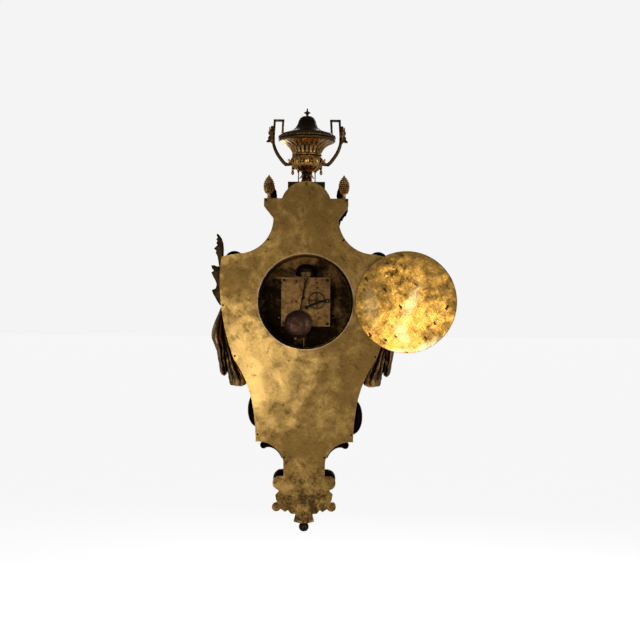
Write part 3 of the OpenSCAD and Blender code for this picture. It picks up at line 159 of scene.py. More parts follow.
def objectCoord(tree):
    return addNode(tree, "TexCoord").outputs["Object"]


def laidOut(tree, coord, scale, turn, at=(0, 0, 0)):
    # coordinates drawn out one way, turned in the plane of the back
    drawn = {"Vector": coord, "Location": at, "Rotation": (0, turn, 0), "Scale": scale}
    return addNode(tree, "Mapping", drawn, vector_type="TEXTURE").outputs[0]


def distance(tree, coord, point):
    return addNode(tree, "VectorMath", {0: coord, 1: point}, operation="DISTANCE").outputs["Value"]


patinaBase = {
    "Clean": (0.6, 0.42, 0.16, 1), "Aged": (0.3, 0.2, 0.08, 1), "Dirt And Shade": (0.05, 0.03, 0.015, 1),
    "Back": (0.1, 0.06, 0.02, 1), "Patch Scale": 14.0, "Aged Share": 0.5, "Dirt Noise Share": 0.3,
    "Spot Share": 0.5, "Recess Share": 1.0, "Back Shade Share": 0.0,
}


def buildPatina():
    tree, given, out = newGroup("patina", patinaBase, {
        "Color": "NodeSocketColor", "Dull": "NodeSocketFloat", "Height": "NodeSocketFloat",
        "Dents": "NodeSocketFloat"})
    place = addNode(tree, "TexCoord").outputs
    coord = place["Object"]
    patch = given["Patch Scale"]
    wide = noise(tree, coord, patch, 5.0, 0.6, 0.7)
    fine = noise(tree, coord, times(tree, patch, 4.3), 8.0, 0.68, 0.3)
    grit = noise(tree, coord, times(tree, patch, 19.0), 6.0, 0.7)
    mixed = plus(tree, times(tree, wide, 0.52), times(tree, fine, 0.48))
    aged = ramp(tree, plus(tree, mixed, times(tree, given["Aged Share"], 0.3)), 0.54, 0.76)
    gritty = plus(tree, times(tree, fine, 0.55), times(tree, grit, 0.45))
    dirt = ramp(tree, plus(tree, gritty, times(tree, given["Dirt Noise Share"], 0.2)), 0.6, 0.74)
    drawn = laidOut(tree, coord, (0.7, 1, 1.5), 0.7)
    cells = addNode(tree, "TexVoronoi", {"Vector": drawn, "Scale": times(tree, patch, 3.4)}).outputs
    torn = plus(tree, cells["Distance"], times(tree, grit, 0.6))
    picked = addNode(tree, "SeparateColor", {0: cells["Color"]}).outputs[0]
    spots = times(tree, ramp(tree, torn, 0.5, 0.42), ramp(tree, picked, 0.6, 0.66))
    spots = times(tree, spots, given["Spot Share"])
    # hollows take the dark colour from the recess attribute: partly grime, partly painted shade where little
    # sky reaches
    recess = addNode(tree, "Attribute", attribute_name="recess").outputs["Fac"]
    deep = ramp(tree, times(tree, recess, given["Recess Share"]), 0.15, 0.8)
    # the sides of a casting that look to the wall are darkened: partly left ungilded, partly painted shade
    # where those sides stand in shadow
    faced = addNode(tree, "SeparateXYZ", {0: place["Normal"]}).outputs["Y"]
    rear = times(tree, ramp(tree, plus(tree, faced, fine), 0.2, 0.9), given["Back Shade Share"])
    colour = mixColour(tree, aged, given["Clean"], given["Aged"])
    colour = mixColour(tree, rear, colour, given["Back"])
    for share in (times(tree, dirt, 0.8), spots, times(tree, deep, 0.93)):
        colour = mixColour(tree, share, colour, given["Dirt And Shade"])
    dull = higher(tree, times(tree, aged, 0.6), higher(tree, dirt, spots))
    swell = noise(tree, coord, patch, 1.0, 0.4, 0.4)
    beaten = {"Vector": coord, "Scale": times(tree, patch, 2.4), "Smoothness": 0.4}
    facets = addNode(tree, "TexVoronoi", beaten, feature="SMOOTH_F1").outputs["Distance"]
    tree.links.new(colour, out["Color"])
    tree.links.new(higher(tree, dull, deep), out["Dull"])
    tree.links.new(gritty, out["Height"])
    tree.links.new(plus(tree, times(tree, swell, 0.6), times(tree, facets, 0.4)), out["Dents"])
    return tree


def buildScratches():
    tree, given, out = newGroup("scratches", {"Scale": 60.0}, {
        "Mask": "NodeSocketFloat", "Strokes": "NodeSocketFloat"})
    coord = objectCoord(tree)
    lines, strokes = [], []
    for turn in (0.5, -0.75, 1.35):
        for drawn, kept, scale in ((18, lines, 9.0), (9, strokes, 11.0)):
            laid = laidOut(tree, coord, (1, 1, drawn), turn)
            kept.append(noise(tree, laid, times(tree, given["Scale"], scale), 3.0))
    broken = ramp(tree, noise(tree, coord, given["Scale"], 2.0), 0.5, 0.62)
    marks = [times(tree, ramp(tree, line, 0.66, 0.72), broken) for line in lines]
    streaks = plus(tree, strokes[0], plus(tree, strokes[1], strokes[2]))
    tree.links.new(higher(tree, marks[0], higher(tree, marks[1], marks[2])), out["Mask"])
    tree.links.new(ramp(tree, streaks, 1.25, 1.75), out["Strokes"])
    return tree


patinaGroup = buildPatina()
scratchGroup = buildScratches()


def newMaterial(name):
    material = bpy.data.materials.new(name)
    material.use_nodes = True
    tree = material.node_tree
    return material, tree, tree.nodes["Principled BSDF"]


def metalFinish(name, own):
    look = finishBase | own
    material, tree, shader = newMaterial(name)
    patina = addNode(tree, "Group", look["patina"], node_tree=patinaGroup)
    # painted brighter about one place, a painted pool of light, and darker about another
    for spot, share in (("paintedLightSpot", "Aged Share"), ("darkenedSpot", "Dirt Noise Share")):
        if spot in look:
            at, near, far, shares = look[spot]
            away = distance(tree, objectCoord(tree), mm(*at))
            tree.links.new(spread(tree, away, *shares, near, far), patina.inputs[share])
    scratch = addNode(tree, "Group", {"Scale": look["scratchScale"]}, node_tree=scratchGroup)
    marks = times(tree, scratch.outputs["Mask"], look["scratchShare"])
    colour = mixColour(tree, marks, patina.outputs["Color"], look["scratchColour"])
    stroke = spread(tree, scratch.outputs["Strokes"], look["strokes"], 1.0)
    colour = addNode(tree, "Mix", {0: 1.0, 6: colour, 7: stroke}, data_type="RGBA",
                     blend_type="MULTIPLY").outputs[2]
    for at, turn, long, wide, share in look["streaks"]:
        # a painted highlight streak, drawn out one way
        laid = laidOut(tree, objectCoord(tree), (wide / 1000, 1, long / 1000), math.radians(turn), mm(*at))
        away = addNode(tree, "VectorMath", {0: laid}, operation="LENGTH").outputs["Value"]
        torn = plus(tree, away, times(tree, patina.outputs["Height"], 2.2))
        paintedGleam = times(tree, ramp(tree, torn, 2.1, 1.1), share)
        colour = mixColour(tree, paintedGleam, colour, look["gleamColour"])
    if "paler" in look:
        # a painted highlight line along the edge of the round opening, in place of the light its edge would
        # catch
        paler = look["paler"]
        flat = addNode(tree, "VectorMath", {0: objectCoord(tree), 1: (1, 0, 1)}, operation="MULTIPLY")
        away = distance(tree, flat.outputs["Vector"], mm(0, 0, 0))
        line = ramp(tree, away, (paler["radius"] + paler["wide"]) / 1000, paler["radius"] / 1000)
        colour = mixColour(tree, times(tree, line, paler["share"]), colour, paler["colour"])
    rough = spread(tree, patina.outputs["Dull"], *look["roughness"])
    dents = addNode(tree, "Bump", {"Strength": 1.0, "Distance": look["dents"],
                                   "Height": patina.outputs["Dents"]})
    height = mathNode(tree, "SUBTRACT", patina.outputs["Height"], times(tree, marks, 0.25))
    bump = addNode(tree, "Bump", {"Strength": look["bump"], "Distance": look["relief"], "Height": height,
                                  "Normal": dents.outputs["Normal"]})
    setInputs(tree, shader, {"Metallic": 1.0, "Base Color": colour, "Roughness": rough,
                             "Normal": bump.outputs["Normal"]})
    return material


# A finish gives only what differs from these and from patinaBase.
# paintedLightSpot and darkenedSpot: place, near, far, shares; streaks, painted highlight streaks: place,
# turn, length, width, share
finishBase = {
    "streaks": (), "scratchScale": 60.0, "scratchShare": 0.1, "scratchColour": (0.5, 0.32, 0.12, 1),
    "strokes": 0.8, "bump": 0.25, "relief": 0.0006, "dents": 0.0006,
}
giltBase = {"Clean": (0.62, 0.37, 0.12, 1), "Aged": (0.27, 0.15, 0.05, 1), "Patch Scale": 30.0,
            "Spot Share": 0.3}
finishes = {
    "sheetBrass": {
        "patina": {"Clean": (0.76, 0.46, 0.135, 1), "Aged": (0.35, 0.196, 0.05, 1),
                   "Dirt And Shade": (0.05, 0.027, 0.010, 1), "Patch Scale": 11.0, "Spot Share": 0.35},
        # painted pool of light on the lower part of the plate
        "paintedLightSpot": ((110, 0, -130), 0.02, 0.17, (0.1, 0.74)),
        # darker about the foot of the leaf terminal
        "darkenedSpot": ((-14, 0, -398), 0.012, 0.13, (0.95, 0.34)),
        # painted highlight streaks on the plate
        "streaks": [((50, 0, -146), 32, 40, 10, 0.5), ((96, 0, -120), 15, 80, 26, 0.4),
                   ((66, 0, -222), 80, 40, 26, 0.5), ((88, 0, -176), 20, 70, 24, 0.5),
                   ((34, 0, -346), 70, 40, 14, 0.4)],
        "gleamColour": (1.0, 0.62, 0.19, 1),
        "paler": {"radius": 88.4, "wide": 1.9, "share": 0.5, "colour": (1.0, 0.80, 0.48, 1)},
        "scratchScale": 34.0, "scratchShare": 0.5, "scratchColour": (0.16, 0.09, 0.03, 1), "strokes": 0.78,
        "roughness": (0.31, 0.55), "relief": 0.001, "dents": 0.0024},
    "doorBrass": {
        "patina": {"Clean": (0.95, 0.48, 0.082, 1), "Aged": (0.34, 0.188, 0.042, 1),
                   "Dirt And Shade": (0.05, 0.026, 0.009, 1), "Spot Share": 0.95},
        # painted pool of light over the lower part of the door
        "paintedLightSpot": ((-188, 10, -52), 0.02, 0.16, (0.2, 0.82)),
        # darker about the upper edge of the door
        "darkenedSpot": ((-162, 20, 58), 0.004, 0.034, (0.95, 0.3)),
        # painted highlight streaks on the door, with its lower rim
        "streaks": [((-194, 20, 0), -24, 52, 16, 0.55), ((-176, 20, -58), 30, 34, 17, 0.5),
                   ((-222, 20, -79), -62, 50, 11, 0.85), ((-172, 20, -89), -84, 50, 7, 0.7),
                   ((-120, 20, -6), 4, 50, 20, 0.16)],
        "gleamColour": (1.0, 0.78, 0.38, 1),
        "scratchScale": 40.0, "scratchShare": 0.5, "scratchColour": (0.2, 0.11, 0.035, 1), "strokes": 0.55,
        "roughness": (0.24, 0.5), "bump": 0.15, "relief": 0.0008, "dents": 0.0016},
    # hollows strongly darkened: grime and painted shade
    "castGilt": {
        "patina": {"Clean": (0.76, 0.43, 0.13, 1), "Aged": (0.25, 0.135, 0.043, 1),
                   "Dirt And Shade": (0.018, 0.010, 0.005, 1), "Patch Scale": 30.0, "Aged Share": 0.4,
                   "Spot Share": 0.3, "Recess Share": 2.4},
        "roughness": (0.2, 0.42)},
    # wall-facing sides nearly black: bare casting and painted shade
    "mountGilt": {
        "patina": giltBase | {"Clean": (0.62, 0.38, 0.12, 1), "Dirt And Shade": (0.012, 0.007, 0.004, 1),
                              "Back": (0.032, 0.018, 0.01, 1), "Recess Share": 1.4, "Back Shade Share": 0.95},
        "roughness": (0.28, 0.58)},
    "shadeGilt": {
        "patina": giltBase | {"Dirt And Shade": (0.012, 0.007, 0.004, 1), "Back": (0.10, 0.055, 0.024, 1),
                              "Dirt Noise Share": 0.26, "Recess Share": 1.5, "Back Shade Share": 0.85},
        "strokes": 0.7, "roughness": (0.26, 0.5)},
    # wall-facing sides dark brown: bare casting and painted shade
    "drapeGilt": {
        "patina": giltBase | {"Dirt And Shade": (0.008, 0.005, 0.003, 1), "Back": (0.17, 0.094, 0.038, 1),
                              "Recess Share": 2.4, "Back Shade Share": 0.85},
        # painted glints at the hems and outer folds
        "streaks": [((-126, 0, -155), 30, 14, 17, 0.75), ((126, 0, -155), -30, 14, 17, 0.75),
                   ((-166, 0, -66), -12, 44, 7, 0.4), ((166, 0, -66), 12, 44, 7, 0.4)],
        "gleamColour": (0.86, 0.52, 0.2, 1), "strokes": 0.7, "roughness": (0.18, 0.42)},
    # wall-facing sides painted black: bare casting and painted shade
    "scrollGilt": {
        "patina": giltBase | {"Clean": (0.62, 0.38, 0.12, 1), "Dirt And Shade": (0.008, 0.005, 0.003, 1),
                              "Back": (0.006, 0.0036, 0.0022, 1), "Recess Share": 1.4, "Back Shade Share": 1.0},
        "scratchShare": 0.02, "roughness": (0.28, 0.58)},
    # a lighter copy of the gilt: painted light on the pinecones, whose small scales the lamps hardly light
    "litConeGilt": {
        "patina": {"Clean": (0.95, 0.52, 0.19, 1), "Aged": (0.62, 0.32, 0.115, 1),
                   "Dirt And Shade": (0.02, 0.011, 0.006, 1), "Patch Scale": 40.0, "Dirt Noise Share": 0.1},
        "roughness": (0.28, 0.5), "bump": 0.2, "relief": 0.0004, "dents": 0.0003},
    "caseGilt": {
        "patina": {"Clean": (0.64, 0.39, 0.125, 1), "Aged": (0.34, 0.195, 0.062, 1),
                   "Dirt And Shade": (0.05, 0.028, 0.012, 1), "Aged Share": 0.45, "Dirt Noise Share": 0.22,
                   "Spot Share": 0.35},
        "scratchScale": 50.0, "scratchShare": 0.2, "scratchColour": (0.2, 0.12, 0.045, 1), "strokes": 0.75,
        "roughness": (0.3, 0.55), "bump": 0.2, "relief": 0.0008, "dents": 0.001},
    "brightGilt": {
        "patina": {"Clean": (0.82, 0.55, 0.19, 1), "Aged": (0.54, 0.34, 0.11, 1),
                   "Dirt And Shade": (0.05, 0.03, 0.012, 1), "Patch Scale": 24.0, "Aged Share": 0.3,
                   "Dirt Noise Share": 0.1, "Spot Share": 0.2, "Recess Share": 1.2},
        "scratchColour": (0.35, 0.22, 0.08, 1), "strokes": 0.85,
        "roughness": (0.22, 0.5), "bump": 0.15, "relief": 0.0005, "dents": 0.0004},
    "clockBrass": {
        "patina": {"Clean": (0.36, 0.195, 0.062, 1), "Aged": (0.18, 0.092, 0.03, 1),
                   "Dirt And Shade": (0.03, 0.017, 0.007, 1), "Patch Scale": 32.0, "Spot Share": 0.6},
        "scratchScale": 90.0, "scratchShare": 0.25, "scratchColour": (0.15, 0.085, 0.03, 1), "strokes": 0.7,
        "roughness": (0.34, 0.62), "bump": 0.2, "relief": 0.0004},
    # a much darker copy of the clock brass: painted shade on the count wheel, and the dark boss of the bob
    "darkBrassAndShade": {
        "patina": {"Clean": (0.12, 0.068, 0.025, 1), "Aged": (0.05, 0.028, 0.011, 1),
                   "Dirt And Shade": (0.015, 0.008, 0.004, 1), "Patch Scale": 40.0, "Spot Share": 0.4},
        "scratchScale": 90.0, "scratchShare": 0.2, "scratchColour": (0.3, 0.18, 0.06, 1),
        "roughness": (0.34, 0.6), "bump": 0.2, "relief": 0.0003, "dents": 0.0003},
    # dark tarnished brass with painted shade, for the drum, pillars, front plate and dial plate in the shade
    # of the case; a painted pool of light brightens the top of the drum
    "drumBrassTarnishAndShade": {
        "patina": {"Clean": (0.34, 0.17, 0.05, 1), "Aged": (0.035, 0.018, 0.007, 1),
                   "Dirt And Shade": (0.01, 0.005, 0.003, 1), "Patch Scale": 16.0, "Dirt Noise Share": 0.4},
        "paintedLightSpot": ((10, -40, 88), 0.02, 0.09, (0.2, 0.75)),
        "scratchShare": 0.2, "scratchColour": (0.3, 0.18, 0.07, 1), "strokes": 0.6,
        "roughness": (0.42, 0.7), "bump": 0.3},
    "bobCopper": {
        "patina": {"Clean": (0.15, 0.072, 0.045, 1), "Aged": (0.07, 0.036, 0.026, 1),
                   "Dirt And Shade": (0.02, 0.012, 0.009, 1), "Patch Scale": 45.0, "Spot Share": 0.4},
        "scratchScale": 90.0, "scratchShare": 0.3, "scratchColour": (0.32, 0.2, 0.12, 1), "strokes": 0.7,
        "roughness": (0.34, 0.6), "relief": 0.0004, "dents": 0.0003},
    "darkSteel": {
        "patina": {"Clean": (0.032, 0.025, 0.02, 1), "Aged": (0.015, 0.011, 0.009, 1),
                   "Dirt And Shade": (0.03, 0.015, 0.008, 1), "Patch Scale": 60.0, "Dirt Noise Share": 0.2,
                   "Spot Share": 0.3},
        "scratchScale": 120.0, "scratchShare": 0.2, "scratchColour": (0.16, 0.14, 0.12, 1),
        "roughness": (0.3, 0.55), "bump": 0.15, "relief": 0.0003, "dents": 0.0003},
    # near-black bronze for the bell inside the case: old dark bronze and painted shade
    "bellBronzeAndShade": {
        "patina": {"Clean": (0.085, 0.055, 0.025, 1), "Aged": (0.04, 0.025, 0.012, 1),
                   "Dirt And Shade": (0.02, 0.012, 0.006, 1), "Patch Scale": 50.0, "Dirt Noise Share": 0.2,
                   "Spot Share": 0.4},
        "scratchScale": 90.0, "scratchShare": 0.2, "scratchColour": (0.2, 0.13, 0.06, 1),
        "roughness": (0.34, 0.55), "bump": 0.15, "relief": 0.0003, "dents": 0.0003},
}
metals = {name: metalFinish(name, look) for name, look in finishes.items()}


def enamelFinish(look):
    material, tree, shader = newMaterial("whiteEnamel")
    coord = objectCoord(tree)
    cloud = noise(tree, coord, look["cloudScale"], 5.0)
    hairline = addNode(tree, "TexVoronoi", {"Vector": coord, "Scale": look["crackScale"]},
                       feature="DISTANCE_TO_EDGE").outputs["Distance"]
    cracked = times(tree, ramp(tree, hairline, 0.012, 0.002), ramp(tree, cloud, 0.58, 0.66))
    colour = mixColour(tree, ramp(tree, cloud, 0.35, 0.75), look["white"], look["cream"])
    colour = mixColour(tree, times(tree, cracked, 0.5), colour, look["crack"])
    ripple = addNode(tree, "Bump", {"Strength": 0.08, "Distance": 0.0006, "Height": cloud})
    setInputs(tree, shader, {"Base Color": colour, "Roughness": look["roughness"],
                             "Coat Weight": look["coat"], "Normal": ripple.outputs["Normal"]})
    return material


def inkFinish(look):
    material, tree, shader = newMaterial("blackNumerals")
    # the black goes paler grey where worn
    paler = ramp(tree, noise(tree, objectCoord(tree), look["wornScale"], 6.0), 0.6, 0.72)
    setInputs(tree, shader, {"Base Color": mixColour(tree, paler, look["black"], look["grey"]),
                             "Roughness": look["roughness"]})
    return material


def glassFinish(look):
    material, tree, shader = newMaterial("clearGlass")
    smear = noise(tree, objectCoord(tree), look["smearScale"], 4.0)
    setInputs(tree, shader, {"Roughness": spread(tree, smear, 0.0, look["smear"]), "Base Color": look["tint"],
                             "Transmission Weight": 1.0, "Alpha": look["alpha"], "IOR": look["ior"]})
    return material


whiteEnamel = enamelFinish({
    "white": (0.86, 0.85, 0.80, 1), "cream": (0.78, 0.75, 0.67, 1), "cloudScale": 22.0, "crackScale": 26.0,
    "crack": (0.25, 0.2, 0.15, 1), "roughness": 0.16, "coat": 0.4})
blackNumerals = inkFinish({
    "black": (0.012, 0.012, 0.015, 1), "grey": (0.09, 0.085, 0.08, 1), "wornScale": 420.0, "roughness": 0.3})
# a thin pane, so that the dial stays well lit
clearGlass = glassFinish({
    "tint": (0.96, 0.98, 0.97, 1), "smearScale": 26.0, "smear": 0.06, "alpha": 0.35, "ior": 1.46})
print("materials ready")

# Each CAD node takes its finish
nodeFinish = {
    "sheetBrass": ["back_plate", "door_hinge_fixed", "bezel_hinge_fixed", "bezel_hinge_leaf"],
    "doorBrass": ["door_hinge_leaf"],
    "caseGilt": ["case_band", "case_front"],
    "mountGilt": ["urn_plinth"],
    "brightGilt": ["bezel_seat", "minute_hand", "hour_hand"],
    "drumBrassTarnishAndShade": ["movement_drum", "movement_pillars", "movement_front_plate", "dial_plate"],
    "clockBrass": ["movement_rear_plate", "suspension_cock", "bell_stand", "bob_hook", "rating_nut",
                   "going_barrel", "going_second_wheel", "centre_wheel", "third_wheel", "escape_wheel",
                   "strike_barrel", "pin_wheel", "locking_wheel", "fly", "minute_wheel"],
    "darkBrassAndShade": ["strike_second_wheel"],
    "darkSteel": ["screws", "clicks", "door_latch", "crutch", "pendulum_rod", "going_mainspring",
                  "strike_mainspring", "hammer", "going_winder", "strike_winder"],
    "bobCopper": ["pendulum_bob"],
    "bellBronzeAndShade": ["bell"],
}


def dress(node, material):
    piece = nodes[node]
    if not piece.material_slots:
        piece.data.materials.append(material)
    for slot in piece.material_slots:
        slot.material = material


for finish, named in nodeFinish.items():
    for node in named:
        dress(node, metals[finish])
dress("enamel_dial", whiteEnamel)
dress("bezel_glass", clearGlass)
print("CAD nodes dressed")


# Modelling helpers
def rayFan(count):
    fan = []
    goldenTurn = 2.399963
    for i in range(count):
        lift = 0.25 + 0.7 * (i + 0.5) / count
        turn = i * goldenTurn
        flat = math.sqrt(1 - lift * lift)
        fan.append((flat * math.cos(turn), flat * math.sin(turn), lift))
    return fan


recessRays = rayFan(9)


def markRecesses(mesh, reach):
    # how much of the sky each point sees, so that the hollows are darkened: partly grime, partly painted
    # shade
    tree = BVHTree.FromPolygons([v.co for v in mesh.vertices], [tuple(p.vertices) for p in mesh.polygons])
    layer = mesh.attributes.new("recess", "FLOAT", "POINT")
    for v in mesh.vertices:
        out = v.normal
        across = out.orthogonal().normalized()
        up = out.cross(across)
        start = v.co + out * 0.0003
        shut = 0
        for a, b, c in recessRays:
            if tree.ray_cast(start, across * a + up * b + out * c, reach)[0] is not None:
                shut += 1
        layer.data[v.index].value = shut / len(recessRays)


def toMesh(name, bm):
    mesh = bpy.data.meshes.new(name)
    bm.to_mesh(mesh)
    bm.free()
    return mesh


def makePiece(name, bm, material, body="case", stands=(), crease=38, reach=0.014):
    bmesh.ops.recalc_face_normals(bm, faces=bm.faces)
    mesh = toMesh(name, bm)
    mesh.materials.append(material)
    mesh.shade_smooth()
    mesh.set_sharp_from_angle(angle=math.radians(crease))
    if reach:
        markRecesses(mesh, reach)
    piece = bpy.data.objects.new(name, mesh)
    scene.collection.objects.link(piece)
    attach(piece, body)
    if stands:
        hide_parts(*stands)
    print("made", name, len(mesh.polygons), "faces")
    return piece


def lathe(bm, profile, steps, centre, axis=(0, 0, 1)):
    # profile points are a radius and a distance along the axis, mm
    base = mm(*centre)
    along = Vector(axis)
    verts = [bm.verts.new(base + (Vector((1, 0, 0)) * r + along * h) / 1000) for r, h in profile]
    edges = [bm.edges.new(pair) for pair in zip(verts, verts[1:])]
    before = set(bm.verts)
    bmesh.ops.spin(bm, geom=verts + edges, cent=base, axis=along, angle=math.tau, steps=steps, use_merge=True)
    ring = [v for v in bm.verts if v not in before] + [v for v in verts if v.is_valid]
    bmesh.ops.remove_doubles(bm, verts=ring, dist=1e-6)


def sweep(bm, path, wide, sides=10, deep=None, upright=(0, 1, 0), turned=0.0, folds=None):
    # a closed tube along a path in metres, with half-widths across it and half-depths along upright
    upright = Vector(upright)
    deep = deep or wide
    last = len(path) - 1
    rings = []
    for i, point in enumerate(path):
        along = (path[min(i + 1, last)] - path[max(i - 1, 0)]).normalized()
        side = along.cross(upright).normalized()
        lift = side.cross(along)
        place = Matrix((side * wide[i], lift * deep[i], along)).transposed().to_4x4()
        place.translation = point
        place = place @ Matrix.Rotation(turned, 4, "Z")
        ring = bmesh.ops.create_circle(bm, segments=sides, radius=1, matrix=place)["verts"]
        if folds:
            gather = folds["depth"] * min(0.3 + i / last, 1)
            for k, v in enumerate(ring):
                turn = folds["count"] * math.tau * k / sides + folds["turn"] + folds["twist"] * i / last
                v.co = point + (v.co - point) * (1 - gather * (0.5 - 0.5 * math.cos(turn)) ** 1.6)
        rings.append(list({e for v in ring for e in v.link_edges}))
    for a, b in zip(rings, rings[1:]):
        bmesh.ops.bridge_loops(bm, edges=a + b)
    for end in (rings[0], rings[-1]):
        bmesh.ops.edgeloop_fill(bm, edges=end)


def swelling(line, thin, more):
    # half-widths that grow towards the middle of a line
    last = len(line) - 1
    return [thin + more * math.sin(math.pi * i / last) for i in range(last + 1)]


def cutLeaf(bm, outline, y, thick, swell, bothWays=True):
    # a solid leaf cut to an outline seen from the front, its face and back swelling to the middle
    front = bm.faces.new([bm.verts.new(mm(x, y, z)) for x, z in outline])
    grown = bmesh.ops.extrude_face_region(bm, geom=[front])["geom"]
    rear = [g for g in grown if isinstance(g, bmesh.types.BMFace)][0]
    bmesh.ops.translate(bm, vec=(0, thick / 1000, 0), verts=rear.verts[:])
    for face, way in ((front, -1), (rear, 1)) if bothWays else ((front, -1),):
        for share in (0.55, 0.3, 0.15):
            bmesh.ops.inset_region(bm, faces=[face], thickness=swell * 0.5 / 1000)
            bmesh.ops.translate(bm, vec=(0, way * swell * share / 1000, 0), verts=face.verts[:])


def leafMesh(name, leaf):
    # one cast leaf along +Y, face to +Z, at its real size in metres
    bm = bmesh.new()
    bmesh.ops.create_grid(bm, x_segments=leaf["across"], y_segments=leaf["along"], size=0.5)
    for v in bm.verts:
        t = v.co.y + 0.5
        u = v.co.x * 2
        swell = max(math.sin(math.pi * t ** leaf["belly"]), 0.0) ** 0.8
        wave = math.cos(math.tau * leaf["lobes"] * t)
        notch = 1 - leaf["notch"] * (0.5 + 0.5 * wave)
        half = leaf["width"] / 2 * max(swell * notch, 0.07)
        lift = leaf["ridge"] * (1 - abs(u)) ** 1.5 - leaf["crease"] * abs(u) + leaf["curl"] * t * t
        lift += leaf["ripple"] * abs(u) * wave
        v.co = Vector((u * half, t * leaf["length"] + abs(u) * half * leaf["sweep"], lift))
    bmesh.ops.solidify(bm, geom=bm.faces[:], thickness=leaf["thick"])
    bmesh.ops.recalc_face_normals(bm, faces=bm.faces)
    return toMesh(name, bm)


def ballMesh(name, radius, detail=1):
    bm = bmesh.new()
    bmesh.ops.create_icosphere(bm, subdivisions=detail, radius=radius)
    return toMesh(name, bm)


def addCopy(bm, mesh, place):
    part = mesh.copy()
    part.transform(place)
    bm.from_mesh(part)
    bpy.data.meshes.remove(part)


def addLeaf(bm, point, along, face, grow):
    addCopy(bm, acanthusLeaf, frameAt(point, along, face) @ Matrix.Diagonal((*grow, 1)))


def addLeafRing(bm, centre, ring):
    # leaves about an upright axis, each leaning outwards as it rises or falls
    for out in outwards(ring["count"], ring["shift"]):
        rise = (skyward * ring["rise"] + out * ring["lean"]).normalized()
        addLeaf(bm, mm(*centre) + out * ring["radius"], rise, out, ring["grow"])


def addVein(bm, root, tip, wide, y, rise, side=1):
    # one leaf laid from root to tip on the face of a cut leaf
    start, end = mm(root[0] * side, y, root[1]), mm(tip[0] * side, y, tip[1])
    reach = end - start
    addLeaf(bm, start, reach.normalized(), frontFace, (wide / 30, reach.length / 0.05, rise))


def mirrorPiece(bm):
    half = bmesh.ops.duplicate(bm, geom=bm.verts[:] + bm.edges[:] + bm.faces[:])["geom"]
    bmesh.ops.scale(bm, vec=(-1, 1, 1), verts=[g for g in half if isinstance(g, bmesh.types.BMVert)])
    bmesh.ops.reverse_faces(bm, faces=[g for g in half if isinstance(g, bmesh.types.BMFace)])


laurelLeaf = leafMesh("laurelLeaf", {
    "across": 2, "along": 6, "length": 0.017, "width": 0.0092, "belly": 0.85, "lobes": 0, "notch": 0,
    "ridge": 0.0012, "crease": 0.0009, "curl": 0.0006, "ripple": 0, "sweep": 0, "thick": 0.0008})
acanthusLeaf = leafMesh("acanthusLeaf", {
    "across": 6, "along": 26, "length": 0.05, "width": 0.03, "belly": 0.8, "lobes": 4.5, "notch": 0.42,
    "ridge": 0.0035, "crease": 0.001, "curl": 0.009, "ripple": 0.0016, "sweep": 0.3, "thick": 0.0016})
berry = ballMesh("berry", 0.0021)
berryLarge = ballMesh("berryLarge", 0.0042, 2)
print("leaf blanks ready")

# Urn: its profiles are radii and heights
urn = {
    "y": -54, "steps": 176, "flutes": 22, "fluted": (281, 302.4, 4), "gadroons": 16,
    "gadrooned": (248, 276.8, 6), "gadroonDepth": 2.4, "ribs": 36, "ribbed": (309.2, 315.6), "ribDepth": 1.3,
    "footFluted": (228, 242, 4), "footDepth": 0.7, "scaled": (336, 351), "scaleRow": 3.75,
    "lidFluted": (320.6, 327, 2), "lidDepth": 0.9,
    "stay": [(15.6, 0, 224.9), (15.9, 0.4, 238), (14.9, 0, 252.4)],
    "knob": (3.4, 4.2, 5.2, 6.1), "knobWide": [0.0009, 0.0011, 0.0013, 0.0016, 0.0016, 0.0012, 0.0004],
    "bowl": [(3, 245.6), (11, 246), (21.4, 250), (28.2, 256.6), (31.4, 264.6), (30.8, 271.4), (27.6, 276.6)],
    "neck": [(27.4, 277), (28.6, 277.8), (28.7, 279.4), (27.8, 281), (29, 286), (32.6, 292), (38.5, 297.2),
             (45.4, 301.2), (48.6, 302.8)],
    "lip": [(51.4, 304.1), (46, 304.6), (2, 300)],
    "leaves": {"count": 8, "shift": 0.5, "radius": 0.0165, "rise": 0.9, "lean": 0.62,
               "grow": (0.66, 0.6, 0.6)},
    "drop": [(0, 241.2), (2.4, 243), (2.9, 246), (1.8, 250), (2.2, 253), (1.7, 262)],
    "rim": [(44, 302.4), (49, 303), (52.4, 304.4), (54, 306.8), (53.4, 308.6), (52.6, 309), (54.4, 310.2),
            (54.8, 312.4), (53.9, 314.8), (51.6, 315.8), (51.2, 316.4), (50, 317.6), (47, 318), (34, 318),
            (34, 312), (44, 306), (44, 302.4)],
    "foot": [(1.6, 224.8), (13.5, 224.9), (13.5, 227), (12.2, 228.4), (10.4, 231), (8.6, 236), (8, 240),
             (8.6, 242.4), (10.4, 243.6), (9.6, 244.8), (11, 246), (1.6, 246.4)],
    "footLeaves": {"count": 8, "shift": 0, "radius": 0.0084, "rise": -1, "lean": 0.3,
                   "grow": (0.2, 0.2, 0.3)},
    "lid": [(2, 353.6), (6, 353.2), (10.3, 351.8), (13.4, 349.2), (15.6, 345.6), (16.8, 342), (17.8, 339),
            (19.4, 335.8), (21.8, 332.4), (25, 329), (30, 325.4), (36.5, 322.2), (41, 320.6), (41.8, 319.4),
            (41.6, 318.1), (33, 318.1), (30, 319), (4, 330)],
    "finial": [(0, 351.4), (3.4, 351.5), (3.0, 353), (1.9, 354.6), (2.6, 356.6), (3.9, 358.4), (4.2, 359.8),
               (3.6, 361.6), (2.0, 363), (1.3, 364.4), (1.7, 365.8), (1.1, 367.4), (0, 368.9)],
}


